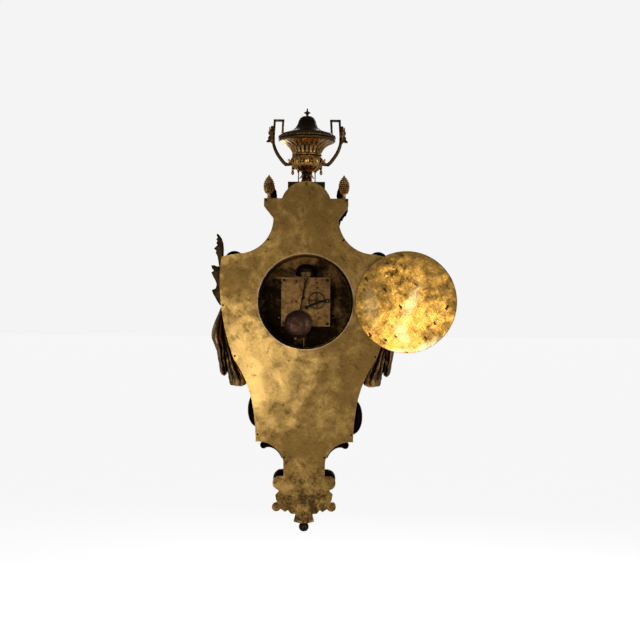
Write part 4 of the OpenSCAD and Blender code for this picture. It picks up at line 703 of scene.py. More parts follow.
def around(v):
    # angle about the urn's axis, distance from it and height, mm
    x, y = v.co.x * 1000, v.co.y * 1000 - urn["y"]
    return math.atan2(y, x), math.hypot(x, y), v.co.z * 1000 + dialDrop


def pushOut(v, angle, radius):
    v.co.x = radius * math.cos(angle) / 1000
    v.co.y = (radius * math.sin(angle) + urn["y"]) / 1000


def fade(value, low, high, edge):
    rise = min(max((value - low) / edge, 0), 1)
    fall = min(max((high - value) / edge, 0), 1)
    return rise * fall


def turnUrn(profile, steps):
    bm = bmesh.new()
    lathe(bm, profile, steps, (0, urn["y"], 0))
    return bm


def buildUrnBody():
    bm = turnUrn(smoothLine(urn["bowl"], 5) + smoothLine(urn["neck"], 5) + urn["lip"], urn["steps"])
    for v in bm.verts:
        angle, r, z = around(v)
        flute = abs(math.sin(angle * urn["flutes"] / 2))
        gadroon = abs(math.cos(angle * urn["gadroons"] / 2))
        if r > 26:
            r -= (2.6 - 2.8 * flute ** 0.7) * fade(z, *urn["fluted"])
        if r > 16:
            r += (gadroon ** 0.6 - 1) * urn["gadroonDepth"] * fade(z, *urn["gadrooned"])
        pushOut(v, angle, r)
    addLeafRing(bm, (0, urn["y"], 247), urn["leaves"])
    for x in (-27, 27):
        lathe(bm, smoothLine(urn["drop"], 3), 14, (x, urn["y"], 0))
    makePiece("urnBody", bm, metals["castGilt"], stands=["urn_body"])


def buildUrnRim():
    bm = turnUrn(smoothLine(urn["rim"], 5), urn["steps"])
    low, high = urn["ribbed"]
    for v in bm.verts:
        angle, r, z = around(v)
        if low < z < high and r > 50:
            rib = abs(math.cos(angle * urn["ribs"] / 2 + (z - 309) * 0.22))
            r -= urn["ribDepth"] * (1 - rib ** 0.7)
        pushOut(v, angle, r)
    makePiece("urnRim", bm, metals["shadeGilt"])


def buildUrnFoot():
    bm = turnUrn(smoothLine(urn["foot"], 4), 96)
    low, high, edge = urn["footFluted"]
    for v in bm.verts:
        angle, r, z = around(v)
        if low < z < high and r > 5:
            groove = urn["footDepth"] * (1 - abs(math.cos(angle * 8)))
            pushOut(v, angle, r - groove * fade(z, low, high, edge))
    addLeafRing(bm, (0, urn["y"], 243.6), urn["footLeaves"])
    # the stay wires
    for side in (-1, 1):
        wire = smoothLine([mm(x * side, urn["y"] + y, z) for x, y, z in urn["stay"]], 5)
        sweep(bm, wire, [0.0011] * len(wire), 8)
    makePiece("urnFoot", bm, metals["castGilt"], stands=["urn_foot"])


def buildUrnLid():
    bm = turnUrn(smoothLine(urn["lid"], 7), urn["steps"])
    low, high = urn["scaled"]
    flutedLow, flutedHigh, edge = urn["lidFluted"]
    for v in bm.verts:
        angle, r, z = around(v)
        if low < z < high and r > 5:
            # rows of scales
            row = (high - z) / urn["scaleRow"]
            shift = math.pi / 2 if int(row) % 2 else 0
            scale = abs(math.cos(angle * 12 + shift))
            r += (0.8 * (row % 1) * scale ** 0.4 - 0.4) * fade(z, low, 360, 3)
        elif flutedLow < z < flutedHigh and r > 28:
            groove = urn["lidDepth"] * (1 - abs(math.cos(angle * 16)))
            r -= groove * fade(z, flutedLow, flutedHigh, edge)
        pushOut(v, angle, r)
    makePiece("urnLid", bm, metals["mountGilt"], stands=["urn_lid"])


def buildUrnFinial():
    bm = turnUrn(smoothLine(urn["finial"], 4), 28)
    for out in outwards(4):
        knob = smoothLine([mm(0, urn["y"], 359.8) + out * s / 1000 for s in urn["knob"]], 2)
        sweep(bm, knob, urn["knobWide"], upright=(0, 0, 1))
    makePiece("urnFinial", bm, metals["mountGilt"], stands=["urn_finial"])


handle = {
    "bar": 4.2, "deep": 5.6, "lean": 0.055, "inner": 45.3, "outer": 61.5, "top": 346.9,
    "innerFoot": 318, "outerFoot": 312, "leafThick": 6.4, "leafSwell": 2.0, "sideLeaf": (64.4, 3.4, 303.5),
    "sideGrow": (0.3, 0.56, 0.4),
    "arm": [(61.6, 313), (61.2, 300), (57, 286), (50.6, 274), (43.6, 264.6), (37, 261.4), (29, 262)],
    "knob": [(44.4, 266), (42, 263), (39.4, 260.6), (36, 259.8)],
    "leaf": [(61.8, 332.6), (65, 334.4), (67.6, 334), (68.7, 331), (67, 327.4), (70, 326), (72.6, 322),
             (71.6, 318), (68.8, 316.4), (71.4, 314), (72.4, 311), (71.8, 308.4), (75, 305), (75.2, 303.6),
             (71, 302.8), (66.6, 303), (61.6, 299)],
}


def addBar(bm, low, high):
    cube = bmesh.ops.create_cube(bm, size=1)["verts"]
    bmesh.ops.scale(bm, vec=high - low, verts=cube)
    bmesh.ops.translate(bm, vec=(low + high) / 2, verts=cube)
    edges = list({e for v in cube for e in v.link_edges})
    bmesh.ops.bevel(bm, geom=edges, offset=0.0006, segments=2, profile=0.5, affect="EDGES", material=-1)


def buildUrnHandles():
    bm = bmesh.new()
    half, deep, y = handle["bar"] / 2, handle["deep"] / 2, urn["y"]
    inner, outer, top = handle["inner"], handle["outer"], handle["top"]
    addBar(bm, mm(inner - half, y - deep, handle["innerFoot"]), mm(inner + half, y + deep, top))
    addBar(bm, mm(inner - half, y - deep, top - handle["bar"]), mm(outer + half, y + deep, top + 0.02))
    addBar(bm, mm(outer - half, y - deep, handle["outerFoot"]), mm(outer + half, y + deep, top))
    arm = smoothLine([mm(x, y, z) for x, z in handle["arm"]], 5)
    thick = swelling(arm, 0.0025, 0.0011)
    sweep(bm, arm, thick, 12, [1.2 * r for r in thick])
    knob = smoothLine([mm(x, y, z) for x, z in handle["knob"]], 3)
    sweep(bm, knob, swelling(knob, 0.0006, 0.0026), 12)
    cutLeaf(bm, handle["leaf"], y - handle["leafThick"] / 2, handle["leafThick"], handle["leafSwell"])
    leafX, leafY, leafZ = handle["sideLeaf"]
    for lean in (-1, 1):
        along = Vector((0.16, lean * 0.1, 1)).normalized()
        seat = mm(leafX, y + lean * leafY, leafZ)
        addLeaf(bm, seat, along, Vector((0.5, lean, 0)), handle["sideGrow"])
    # the frame leans out towards its lower end
    for v in bm.verts:
        share = handle["lean"] * fade(v.co.z * 1000 + dialDrop, 270, 400, 36)
        v.co.x += share * (top - v.co.z * 1000 - dialDrop) / 1000
    mirrorPiece(bm)
    makePiece("urnHandles", bm, metals["shadeGilt"], stands=["urn_handles"])


buildUrnBody()
buildUrnRim()
buildUrnFoot()
buildUrnLid()
buildUrnFinial()
buildUrnHandles()

# Pinecone finials: radii, and heights above their base
cone = {
    "x": 70.5, "y": -33, "base": 189.4, "rows": 11, "round": 11,
    "core": [(0, 0.1), (6.5, 0.1), (6.5, 1.8), (4.8, 3.2), (3.5, 6), (3.1, 11), (4.2, 14.4), (5.6, 15.4),
             (5.6, 16.6), (7, 20), (7.9, 26), (7.9, 32), (6.4, 38), (3.6, 44), (0, 48)],
    "scaled": [(6.4, 15.6), (8.4, 20), (9.3, 26), (9.0, 32), (7.0, 38), (4.2, 43), (1.0, 47.2)],
    "leaves": {"count": 7, "shift": 0, "radius": 0.0036, "rise": 1, "lean": 0.35, "grow": (0.17, 0.17, 0.2)},
}


def scaleMesh():
    bm = bmesh.new()
    bmesh.ops.create_cone(bm, cap_ends=True, segments=5, radius1=0.0021, radius2=0.0006, depth=0.0042)
    bmesh.ops.translate(bm, vec=(0, 0, 0.0012), verts=bm.verts)
    return toMesh("coneScale", bm)


def buildPinecones():
    bm = bmesh.new()
    x, y, base, rows = cone["x"], cone["y"], cone["base"], cone["rows"]
    lathe(bm, smoothLine([(r, base + h) for r, h in cone["core"]], 3), 28, (x, y, 0))
    body = smoothLine([(r, base + h) for r, h in cone["scaled"]], 6)
    scaleBlank = scaleMesh()
    for row in range(rows):
        (r, z), lean = alongLine(body, row / (rows - 1))
        count = max(int(cone["round"] * r / 7.0), 4)
        for out in outwards(count, 0.5 * (row % 2)):
            lie = (out * lean.y + skyward * -lean.x + Vector((0, 0, 0.55))).normalized()
            place = skyward.rotation_difference(lie).to_matrix().to_4x4()
            place.translation = mm(x, y, z) + out * (r - 0.9) / 1000
            grow = Matrix.Diagonal((0.6 + 0.05 * r, 0.6 + 0.05 * r, 0.5 + 0.03 * r, 1))
            addCopy(bm, scaleBlank, place @ grow)
    addLeafRing(bm, (x, y, base + 13), cone["leaves"])
    mirrorPiece(bm)
    makePiece("pineCones", bm, metals["litConeGilt"], stands=["pinecones"], reach=0.002)


buildPinecones()

# Laurel garlands on the front
garland = {
    "radius": 6.2, "rows": 32, "round": 4, "y": -73.2, "capThick": 4, "capSwell": 1.6,
    "tops": {1: [(66, 222), (65, 206), (59, 190), (53, 175), (48, 159)],
             -1: [(66, 222), (65, 206), (70, 190), (70, 176), (60, 158)]},
    "low": [(51, 137), (64, 116.4), (83, 100.6), (103, 91)],
    "bulge": [(-58, 186), (-66, 190), (-76, 188), (-79, 182), (-78.6, 174), (-75.6, 167), (-69.5, 161.6),
              (-62, 160.4), (-56, 166), (-55, 176)],
    "cap": [(58.6, 196), (56.8, 204), (58, 212), (61, 218), (64.4, 220.6), (68, 217), (69.6, 209),
            (68.4, 200), (64, 193)],
}


def addGarland(bm, line, rows, face, radius, flip=False):
    for row in range(rows):
        share = (row + 0.5) / rows
        point, along = alongLine(line, share)
        if flip and share > 0.5:
            along = -along
        side = along.cross(face).normalized()
        girth = radius * (0.6 + 0.4 * math.sin(math.pi * share) ** 0.5)
        for k in range(garland["round"]):
            turn = math.pi * (k + 0.5 * (row % 2) + 0.25) / garland["round"] - math.pi / 2
            out = face * math.cos(turn) + side * math.sin(turn)
            lie = (along + out * 0.2).normalized()
            place = frameAt(point + out * girth * 0.55 - along * 0.006, lie, out)
            addCopy(bm, laurelLeaf, place @ Matrix.Scale(0.72 + 0.28 * girth / radius, 4))
        if row % 3 == 1:
            seat = point + face * girth * 0.9
            addCopy(bm, berry, Matrix.Translation(seat + side * radius * 0.4))
            addCopy(bm, berry, Matrix.Translation(seat - side * radius * 0.35 + along * 0.003))


def buildGarlands():
    bm = bmesh.new()
    y = garland["y"]
    for side, top in garland["tops"].items():
        line = smoothLine([mm(x * side, y, z) for x, z in top + garland["low"]], 8)
        last = len(line) - 1
        core = garland["radius"] * 0.00075
        thick = [core * (0.5 + 0.5 * math.sin(math.pi * i / last)) for i in range(last + 1)]
        sweep(bm, line, thick, 8)
        addGarland(bm, line, garland["rows"], frontFace, garland["radius"] / 1000)
        cap = [(x * side, z) for x, z in garland["cap"]]
        cutLeaf(bm, cap, y + 1, garland["capThick"], garland["capSwell"])
    cutLeaf(bm, garland["bulge"], y + 1, garland["capThick"], garland["capSwell"])
    makePiece("laurelGarlands", bm, metals["scrollGilt"], stands=["laurel_garlands"], reach=0.008)


buildGarlands()

# Lower front panel slopes back to the wall
slope = {"front": -58, "hip": -107.3, "angle": math.atan2(24, 213.7)}


def onSlope(x, y, z):
    c, s = math.cos(slope["angle"]), math.sin(slope["angle"])
    return mm(x, slope["front"] + y * c - z * s, slope["hip"] + y * s + z * c)


def slopeWay(x, z):
    way = onSlope(x, 0, z) - onSlope(0, 0, 0)
    return way.normalized()


slopeFace = Vector((0, -math.cos(slope["angle"]), -math.sin(slope["angle"])))
festoon = {"radius": 6.2, "rows": 42, "lift": -12.6, "half": 99, "sag": 49, "low": -54, "steps": 60,
           "core": 0.0036}
rosette = {"z": -100, "radius": 16.5, "petals": 8, "lift": -7, "tiers": ((1.0, 0.0), (0.72, 2.2)),
           "hangAt": -112, "hanging": ((0.0, 1.4), (0.45, 1.05), (-0.45, 1.05))}


def buildApron():
    bm = bmesh.new()
    line = []
    last = festoon["steps"]
    for i in range(last + 1):
        t = i / (last / 2) - 1
        z = festoon["sag"] * abs(t) ** 1.6 + festoon["low"]
        line.append(onSlope(festoon["half"] * t, festoon["lift"], z))
    thick = [festoon["core"] * (0.5 + 0.5 * math.sin(math.pi * i / last)) for i in range(last + 1)]
    sweep(bm, line, thick, 8)
    addGarland(bm, line, festoon["rows"], slopeFace, festoon["radius"] / 1000, True)
    for tier, (reach, lift) in enumerate(rosette["tiers"]):
        for k in range(rosette["petals"]):
            turn = math.tau * (k + 0.5 * tier) / rosette["petals"]
            out = slopeWay(math.sin(turn), math.cos(turn))
            start = onSlope(0, rosette["lift"] - lift, rosette["z"]) + out * 0.002
            grow = rosette["radius"] * reach / 50
            addLeaf(bm, start, out, slopeFace, (grow * 1.15, grow, grow * 1.3))
    addCopy(bm, berryLarge, Matrix.Translation(onSlope(0, rosette["lift"] - 5, rosette["z"])))
    drop = slopeWay(0, -1)
    for lean, grow in rosette["hanging"]:
        along = (drop + Vector((lean, 0, 0))).normalized()
        start = onSlope(lean * 8, -8 - (0 if lean else 2), rosette["hangAt"])
        addLeaf(bm, start, along, slopeFace, (grow * 0.85, grow, grow * 0.8))
    makePiece("apronFestoon", bm, metals["mountGilt"], stands=["apron_rosette"], reach=0.008)


buildApron()

# Cast drapes at the flanks: each is two gathered lobes hanging from one knot
drapes = {"crumple": 2.6, "sides": 60, "lobes": [
    {"line": [(157, -43, -8), (160, -43, -25), (164, -42, -43), (166, -41, -64), (159.8, -41, -90),
              (156.6, -40, -112), (154, -40, -130), (153, -40, -138), (152.8, -40, -141)],
     "wide": [2, 5.6, 9, 11.6, 9.2, 8.2, 7, 4.6, 0.8], "deep": [3, 9, 13, 16, 17, 16, 13, 8, 1],
     "folds": {"count": 4, "depth": 0.36, "turn": 0.6, "twist": 1.6}},
    {"line": [(156, -41, -12), (152, -41, -46), (146, -40, -80), (138.5, -39, -110), (131.6, -39, -132),
              (127, -39, -147), (125.6, -39, -156), (125.4, -39, -160.2)],
     "wide": [2, 5.4, 9, 12.4, 15.2, 16.8, 14.4, 5], "deep": [3, 9, 14, 17, 18, 16, 11, 1.6],
     "folds": {"count": 6, "depth": 0.36, "turn": 1.3, "twist": -1.4}},
]}


def buildDrapes():
    bm = bmesh.new()
    for lobe in drapes["lobes"]:
        line = smoothLine([mm(*p) for p in lobe["line"]], 6)
        wide = [p.x / 1000 for p in smoothLine([(r, 0) for r in lobe["wide"]], 6)]
        deep = [p.x / 1000 for p in smoothLine([(r, 0) for r in lobe["deep"]], 6)]
        sweep(bm, line, wide, drapes["sides"], deep, folds=lobe["folds"])
    # crumpled, most at the hems
    for v in bm.verts:
        low = min(max((-20 - dialDrop - v.co.z * 1000) / 140, 0.1), 1)
        across = hillNoise(v.co * 120)
        inward = hillNoise(v.co * 120 + Vector((7, 0, 0)))
        v.co += Vector((across, inward, 0.4 * hillNoise(v.co * 90))) * low * drapes["crumple"] / 1000
    mirrorPiece(bm)
    makePiece("castDrapes", bm, metals["drapeGilt"], stands=["drapes"], crease=60, reach=0.012)


buildDrapes()

# Leaf sprays at the upper corners, cut to the outline of their curled tips
sprays = {
    "y": -72, "thick": 5, "swell": 1.6, "rise": 0.24,
    "tall": [(157, 66), (158.6, 86), (158.2, 101), (159.2, 112), (162.2, 121), (166.6, 127.4), (171, 130.6),
             (172, 126.6), (169.8, 122.6), (172.8, 119.6), (170.4, 116.4), (172.6, 112), (170, 108.4),
             (177, 101.6), (172.4, 97.4), (173.4, 93), (170, 87), (168.4, 78), (167, 68)],
    "short": [(157, 62), (157.4, 72), (158.4, 80), (160.4, 85), (163.6, 84), (162.8, 80), (166.8, 78),
              (165.4, 72), (167, 64)],
    "low": [(150, 14), (152, 40), (154, 58), (160, 70), (168.8, 66.4), (175.6, 69.6), (182, 69.4),
            (180.4, 63.6), (176.8, 59.4), (181.4, 55.8), (178.4, 48.4), (174.2, 41.4), (171.2, 33.4),
            (173, 25.4), (180.4, 22), (178.2, 15.2), (174, 8.4), (169.8, 0.4), (164.6, -7), (157.2, -8.6)],
    "veins": [((157, 58), (179.5, 67.5), 11), ((156, 44), (179, 54.5), 11), ((154, 8), (178, 21), 11),
              ((154, -2), (172, 12), 8)],
    "upperVein": {"tall": ((162.6, 66), (167.5, 127), 12), "short": ((162.6, 66), (161.6, 83), 8)},
}


def buildSprays():
    bm = bmesh.new()
    y, swell = sprays["y"], sprays["swell"]
    for side, upper in ((1, "tall"), (-1, "short")):
        for group in (upper, "low"):
            cutLeaf(bm, [(x * side, z) for x, z in sprays[group]], y, sprays["thick"], swell)
        for root, tip, wide in sprays["veins"] + [sprays["upperVein"][upper]]:
            addVein(bm, root, tip, wide, y - swell, sprays["rise"], side)
    makePiece("leafSprays", bm, metals["mountGilt"], stands=["leaf_sprays"], reach=0.01)


buildSprays()

# Scrolls: volutes at the shoulders and the neck, bowls at the flanks of the lower panel
bowl = {"line": [(-10, 27), (4, 29), (11, 21), (14.4, 6), (13.6, -12), (8, -25), (-3, -28), (-12, -22)],
        "curls": ((-7, 1.6, -15, 0.0125, -1.4, -1), (-7, -1.6, 18, 0.0115, 1.4, 1)), "lifts": {1: 13, -1: 0}}
horn = {"y": -17.5, "line": [(41.6, -291), (46.6, -280.6), (54.6, -272), (64, -267.4), (74, -267)]}


def addVolute(bm, centre, big, turns, tube, deep, start, way=1):
    steps = int(turns * 30)
    path, thick = [], []
    for i in range(steps + 1):
        share = i / steps
        r = (big - tube) * (1 - share) + tube * 0.9 * share
        turn = start + way * turns * math.tau * share
        path.append(centre + Vector((math.cos(turn) * r, -0.0015 * share, math.sin(turn) * r)))
        thick.append(tube * (1 - 0.45 * share))
    sweep(bm, path, thick, 12, [r * deep / tube for r in thick])
    web = [(0, -deep * 0.55), (big * 0.75, -deep * 0.45), (big * 0.86, 0), (big * 0.75, deep * 0.45),
           (0, deep * 0.55)]
    at = (centre.x * 1000, centre.y * 1000, centre.z * 1000 + dialDrop)
    lathe(bm, [(r * 1000, h * 1000) for r, h in web], 24, at, (0, -1, 0))
    eye = Matrix.Diagonal((tube / 0.005, 1.4 * deep / 0.0042, tube / 0.005, 1))
    addCopy(bm, berryLarge, Matrix.Translation(path[-1]) @ eye)


def addBowl(bm, side, lift):
    # curls in at both ends, with a leaf hanging over it
    def at(x, y, z):
        return onSlope(84 * side, -15, lift - 108.7) + Vector((x * side, y, z)) / 1000
    line = smoothLine([at(x, -z * 0.11, z) for x, z in bowl["line"]], 7)
    wide = swelling(line, 0.0026, 0.0082)
    sweep(bm, line, wide, 20, [0.004 + 0.4 * r for r in wide])
    for x, y, z, r, start, way in bowl["curls"]:
        start = start if side > 0 else math.pi - start
        addVolute(bm, at(x, y, z), r, turns=1.6, tube=0.0026, deep=0.0056, start=start, way=way * side)
    addLeaf(bm, at(4, -7, 20), Vector((0.1 * side, 0.1, -1)).normalized(), slopeFace, (0.62, 0.86, 0.6))


def buildScrolls():
    bm = bmesh.new()
    addVolute(bm, mm(136.5, -73, 78.8), big=0.0205, turns=2.1, tube=0.0036, deep=0.006, start=0.4)
    neck = mm(75.4, horn["y"], -267)
    addVolute(bm, neck, big=0.008, turns=1.7, tube=0.0024, deep=0.0098, start=1.2, way=-1)
    line = smoothLine([mm(x, horn["y"], z) for x, z in horn["line"]], 6)
    wide = [0.001 + 0.0042 * i / (len(line) - 1) for i in range(len(line))]
    sweep(bm, line, wide, 16, [2.1 * r for r in wide])
    mirrorPiece(bm)
    for side, lift in bowl["lifts"].items():
        addBowl(bm, side, lift)
    makePiece("scrollWork", bm, metals["scrollGilt"], stands=["scrolls"], reach=0.01)


buildScrolls()

# Leaf terminal with the scrolls beside its neck
terminal = {
    "neck": (38, -321), "front": -13, "thick": 11, "swell": 4.5, "rise": 0.5,
    "upper": [(46, -29.5), (53, -36), (51, -46), (48, -49.6)],
    "lower": [(42.6, -62), (34.8, -67.5), (29.6, -64), (24, -70.6), (15.2, -71.2), (18.9, -85.3),
              (8.9, -87.9)],
    "veins": [((0, -322), (0, -404), 30, 3.4), ((10, -334), (50, -345), 18, 1.5),
              ((10, -344), (53, -378), 18, 1.5), ((6, -352), (31, -386), 16, 2.5),
              ((3, -362), (15, -404), 13, 1)],
    "ball": [(0, 9.6), (4.6, 9.4), (4.8, 8.2), (7.6, 5.4), (9.2, 0.6), (8.6, -3.6), (5.4, -7.8), (0, -9.2)],
    "ballAt": (0, -10, -417),
}


def terminalOutline():
    side, low = terminal["neck"]
    line = [(side, 0), *arc(45.3, -13.9, 13, 115, -75, 10), *terminal["upper"]]
    line += [*arc(50.9, -58.3, 8.3, 75, -125, 8), *terminal["lower"]]
    half = [(x, z + low) for x, z in line]
    return half + [(-x, z) for x, z in reversed(half)]


def buildTerminal():
    bm = bmesh.new()
    for root, tip, wide, lift in terminal["veins"]:
        y = terminal["front"] - terminal["swell"] - lift + 1.5
        addVein(bm, root, tip, wide, y, terminal["rise"])
    addVolute(bm, mm(40, -17, -327.4), big=0.0185, turns=1.9, tube=0.0038, deep=0.009, start=-0.3)
    mirrorPiece(bm)
    cutLeaf(bm, terminalOutline(), terminal["front"], terminal["thick"], terminal["swell"], False)
    lathe(bm, smoothLine(terminal["ball"], 4), 28, terminal["ballAt"])
    makePiece("terminalLeaf", bm, metals["mountGilt"], stands=["terminal_leaf"], reach=0.012)


buildTerminal()

# Back door: a thin sheet, beaten a little hollow, drawn shut and then swung open on its hinge
door = {
    "radius": 93, "centre": (4.5, 0, 0), "hinge": (-90.5, 2, 0), "open": 168, "dents": 0.16,
    "inner": [(0, 0.9), (20, 0.9), (40, 0.88), (60, 0.8), (74, 0.62), (84, 0.4), (89, 0.31), (92.3, 0.31)],
    "edge": [(92.8, 0.42), (93, 0.6), (93, 1.0), (92.8, 1.18)],
    "outer": [(92.3, 1.29), (89, 1.3), (84, 1.4), (74, 1.62), (60, 1.8), (40, 1.88), (20, 1.9), (0, 1.9)],
}


def buildDoor():
    bm = bmesh.new()
    profile = smoothLine(door["inner"], 4) + door["edge"] + smoothLine(door["outer"], 4)
    lathe(bm, profile, 144, door["centre"], (0, 1, 0))
    for v in bm.verts:
        r = (v.co - mm(*door["centre"])).length * 1000
        dent = hillNoise(v.co * 34) + 0.5 * hillNoise(v.co * 75)
        v.co.y += door["dents"] / 1000 * dent * fade(r, -20, door["radius"] - 3, 12)
    turn = Matrix.Rotation(math.radians(door["open"]), 3, "Z")
    bmesh.ops.rotate(bm, cent=mm(*door["hinge"]), matrix=turn, verts=bm.verts)
    makePiece("doorPanel", bm, metals["doorBrass"], "back_door", ["back_door"], reach=0)


buildDoor()

# Rear of the movement: pivot ends in the plate, the bob's boss and the count detent's arm
rearWork = {
    "pivots": [(17.3, -33.4, 38.5), (1.5, -35, 29.2), (-21.2, -35, 36.3), (-21.5, -35, 26.8),
               (18.2, -35, 0.6), (3.1, -35, 8.4), (1.5, -23.2, 48.1)],
    "pivot": 1.9, "bob": (14.12, -13, -41.43), "boss": 4.6,
    "arm": [(-38.6, 2), (-30, 1), (-18, -3), (-3.2, -9.5)],
    "armHalf": 2.2, "bosses": ((-41, 2, 3.7), (-1.6, -10.4, 3.3)),
}


def buildRearWork():
    bm = bmesh.new()
    r = rearWork["pivot"]
    for place in rearWork["pivots"]:
        lathe(bm, [(0, -0.3), (r, -0.3), (r, 0.1), (r * 0.75, 0.34), (0, 0.42)], 18, place, (0, 1, 0))
    makePiece("platePivots", bm, metals["darkSteel"], reach=0)
    bm = bmesh.new()
    r = rearWork["boss"]
    boss = [(0, -0.3), (r, -0.3), (r, 0.2), (r - 0.5, 0.5), (r - 1.4, 0.3), (r - 2.2, 0.4), (r - 2.8, 0.8),
            (0, 0.9)]
    lathe(bm, boss, 32, rearWork["bob"], (0, 1, 0))
    makePiece("bobBoss", bm, metals["darkBrassAndShade"], "pendulum", reach=0.003)
    bm = bmesh.new()
    low, high = (corner.y * 1000 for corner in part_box("count_detent"))
    mid, deep = (low + high) / 2, (high - low) / 2
    line = smoothLine([mm(x, mid, z) for x, z in rearWork["arm"]], 6)
    corner = math.sqrt(2) / 1000
    wide = [rearWork["armHalf"] * corner] * len(line)
    sweep(bm, line, wide, 4, [deep * corner] * len(line), turned=math.pi / 4)
    for x, z, half in rearWork["bosses"]:
        addBar(bm, mm(x - half, low, z - half), mm(x + half, high + 0.3, z + half))
    makePiece("countDetent", bm, metals["darkSteel"], "detent", ["count_detent"], reach=0)


buildRearWork()

# Bezel with its bead row
bezel = {"rear": -86.8, "front": -98.3, "inner": 80, "beads": 104, "beadRing": 95.4, "bead": 0.0021,
         "milled": (86, 92), "mills": 60, "millDepth": 0.0009}


def buildBezel():
    bm = bmesh.new()
    rear, front, inner = -bezel["rear"], -bezel["front"], bezel["inner"]
    profile = [(inner, rear + 1.6), (inner, rear + 3.4), (81.6, rear + 4.6), (82.2, rear + 6.2),
               (84, rear + 6.6), (85.6, rear + 8.6), (88, front - 0.6), (90.6, front), (92.4, front - 1.2),
               (93, front - 3), (93.4, front - 4.6), (97.4, front - 4.6), (98.2, rear + 5.4),
               (99.6, rear + 4), (99.9, rear + 2), (99.2, rear), (84, rear), (83.4, rear + 1.6),
               (inner, rear + 1.6)]
    lathe(bm, profile, 144, (0, 0, 0), (0, -1, 0))
    near, far = bezel["milled"]
    pearl = ballMesh("pearl", bezel["bead"], 2)
    r = bezel["beadRing"]
    for k in range(bezel["beads"]):
        turn = math.tau * k / bezel["beads"]
        place = mm(r * math.cos(turn), bezel["front"] + 4.4, r * math.sin(turn))
        addCopy(bm, pearl, Matrix.Translation(place))
    for v in bm.verts:
        x, z = v.co.x * 1000, v.co.z * 1000 + dialDrop
        r, turn = math.hypot(x, z), math.atan2(z, x)
        if near < r < far and v.co.y * 1000 < bezel["front"] + 3:
            v.co.y += bezel["millDepth"] * abs(math.sin(turn * bezel["mills"])) ** 2
    makePiece("bezelRing", bm, metals["brightGilt"], "bezel", ["bezel_ring"], reach=0.006)


buildBezel()

# Dial: hour numerals, minute track and the winding holes' collets
dial = {
    "front": -80.5, "hours": 63.5, "tall": 13.5, "track": (71.5, 76.5), "thick": 0.12, "winding": (24, -21),
    "words": ("I", "II", "III", "IIII", "V", "VI", "VII", "VIII", "IX", "X", "XI", "XII"),
    "widths": {"I": 3.5, "V": 7.4, "X": 7.2}, "serif": 0.25,
    "strokes": {"I": [(0, 0, 1.9)], "V": [(0, -2.3, 2.0), (0, 2.5, 0.8)],
                "X": [(2.3, -2.3, 2.0), (-2.3, 2.3, 0.8)]},
    "collet": [(4.0, -0.4), (4.0, 0.5), (4.5, 0.9), (5.1, 0.7), (5.4, 0), (4.0, -0.4)],
}


def addStroke(bm, x0, z0, x1, z1, wide):
    # an upright bar from one point to another, sheared so that its ends stay level
    cube = bmesh.ops.create_cube(bm, size=1)["verts"]
    for v in cube:
        t = v.co.z + 0.5
        v.co = Vector((x0 + (x1 - x0) * t + v.co.x * wide, v.co.y * dial["thick"], z0 + (z1 - z0) * t))


def joinPart(bm, name, part):
    mesh = toMesh(name, part)
    bm.from_mesh(mesh)
    bpy.data.meshes.remove(mesh)


def addNumeral(bm, hour):
    word = dial["words"][hour - 1]
    widths = dial["widths"]
    glyph = bmesh.new()
    high = dial["tall"] / 2
    x = -sum(widths[c] for c in word) / 2
    for c in word:
        w = widths[c]
        mid = x + w / 2
        for foot, head, wide in dial["strokes"][c]:
            addStroke(glyph, mid + foot, -high, mid + head, high, wide)
        for end in (-high, high):
            if c != "V" or end > 0:
                addStroke(glyph, mid, end - dial["serif"], mid, end + dial["serif"], w * 0.92)
        x += w
    turn = Matrix.Rotation(math.tau * hour / 12, 3, "Y")
    bmesh.ops.translate(glyph, vec=(0, 0, dial["hours"]), verts=glyph.verts)
    bmesh.ops.rotate(glyph, cent=(0, 0, 0), matrix=turn, verts=glyph.verts)
    bmesh.ops.scale(glyph, vec=(0.001, 0.001, 0.001), verts=glyph.verts)
    bmesh.ops.translate(glyph, vec=mm(0, dial["front"] - 0.07, 0), verts=glyph.verts)
    joinPart(bm, "numeral", glyph)


def buildDial():
    bm = bmesh.new()
    for hour in range(1, 13):
        addNumeral(bm, hour)
    near, far = dial["track"]
    y = -dial["front"]
    for r in (near, far):
        lathe(bm, [(r, y), (r, y + 0.1), (r + 0.35, y + 0.1), (r + 0.35, y)], 120, (0, 0, 0), (0, -1, 0))
    ticks = bmesh.new()
    for minute in range(60):
        turn = Matrix.Rotation(math.tau * minute / 60, 3, "Y")
        cube = bmesh.ops.create_cube(ticks, size=1)["verts"]
        wide = 1.5 if minute % 5 == 0 else 0.4
        bmesh.ops.scale(ticks, vec=(wide / 1000, 0.0001, (far - near) / 1000), verts=cube)
        bmesh.ops.translate(ticks, vec=(0, 0, (near + far) / 2000), verts=cube)
        bmesh.ops.rotate(ticks, cent=(0, 0, 0), matrix=turn, verts=cube)
    bmesh.ops.translate(ticks, vec=mm(0, dial["front"] - 0.06, 0), verts=ticks.verts)
    joinPart(bm, "ticks", ticks)
    makePiece("dialNumerals", bm, blackNumerals, crease=30, reach=0)
    bm = bmesh.new()
    collet = smoothLine([(r, y + h) for r, h in dial["collet"]], 3)
    across, low = dial["winding"]
    for x in (-across, across):
        lathe(bm, collet, 40, (x, 0, low), (0, -1, 0))
    makePiece("windingCollets", bm, metals["brightGilt"], reach=0)


buildDial()

# Pearls along the border of the front
border = {"inset": 5.2, "pearl": 1.7, "space": 4.4, "front": -66, "lift": 0.4, "slopeLift": 8.4}


def bezier(points, count, first=0):
    a, b, c, d = (Vector(q) for q in points)
    line = []
    for i in range(first, count + 1):
        t = i / count
        line.append(a * (1 - t) ** 3 + b * 3 * t * (1 - t) ** 2 + c * 3 * t * t * (1 - t) + d * t ** 3)
    return line


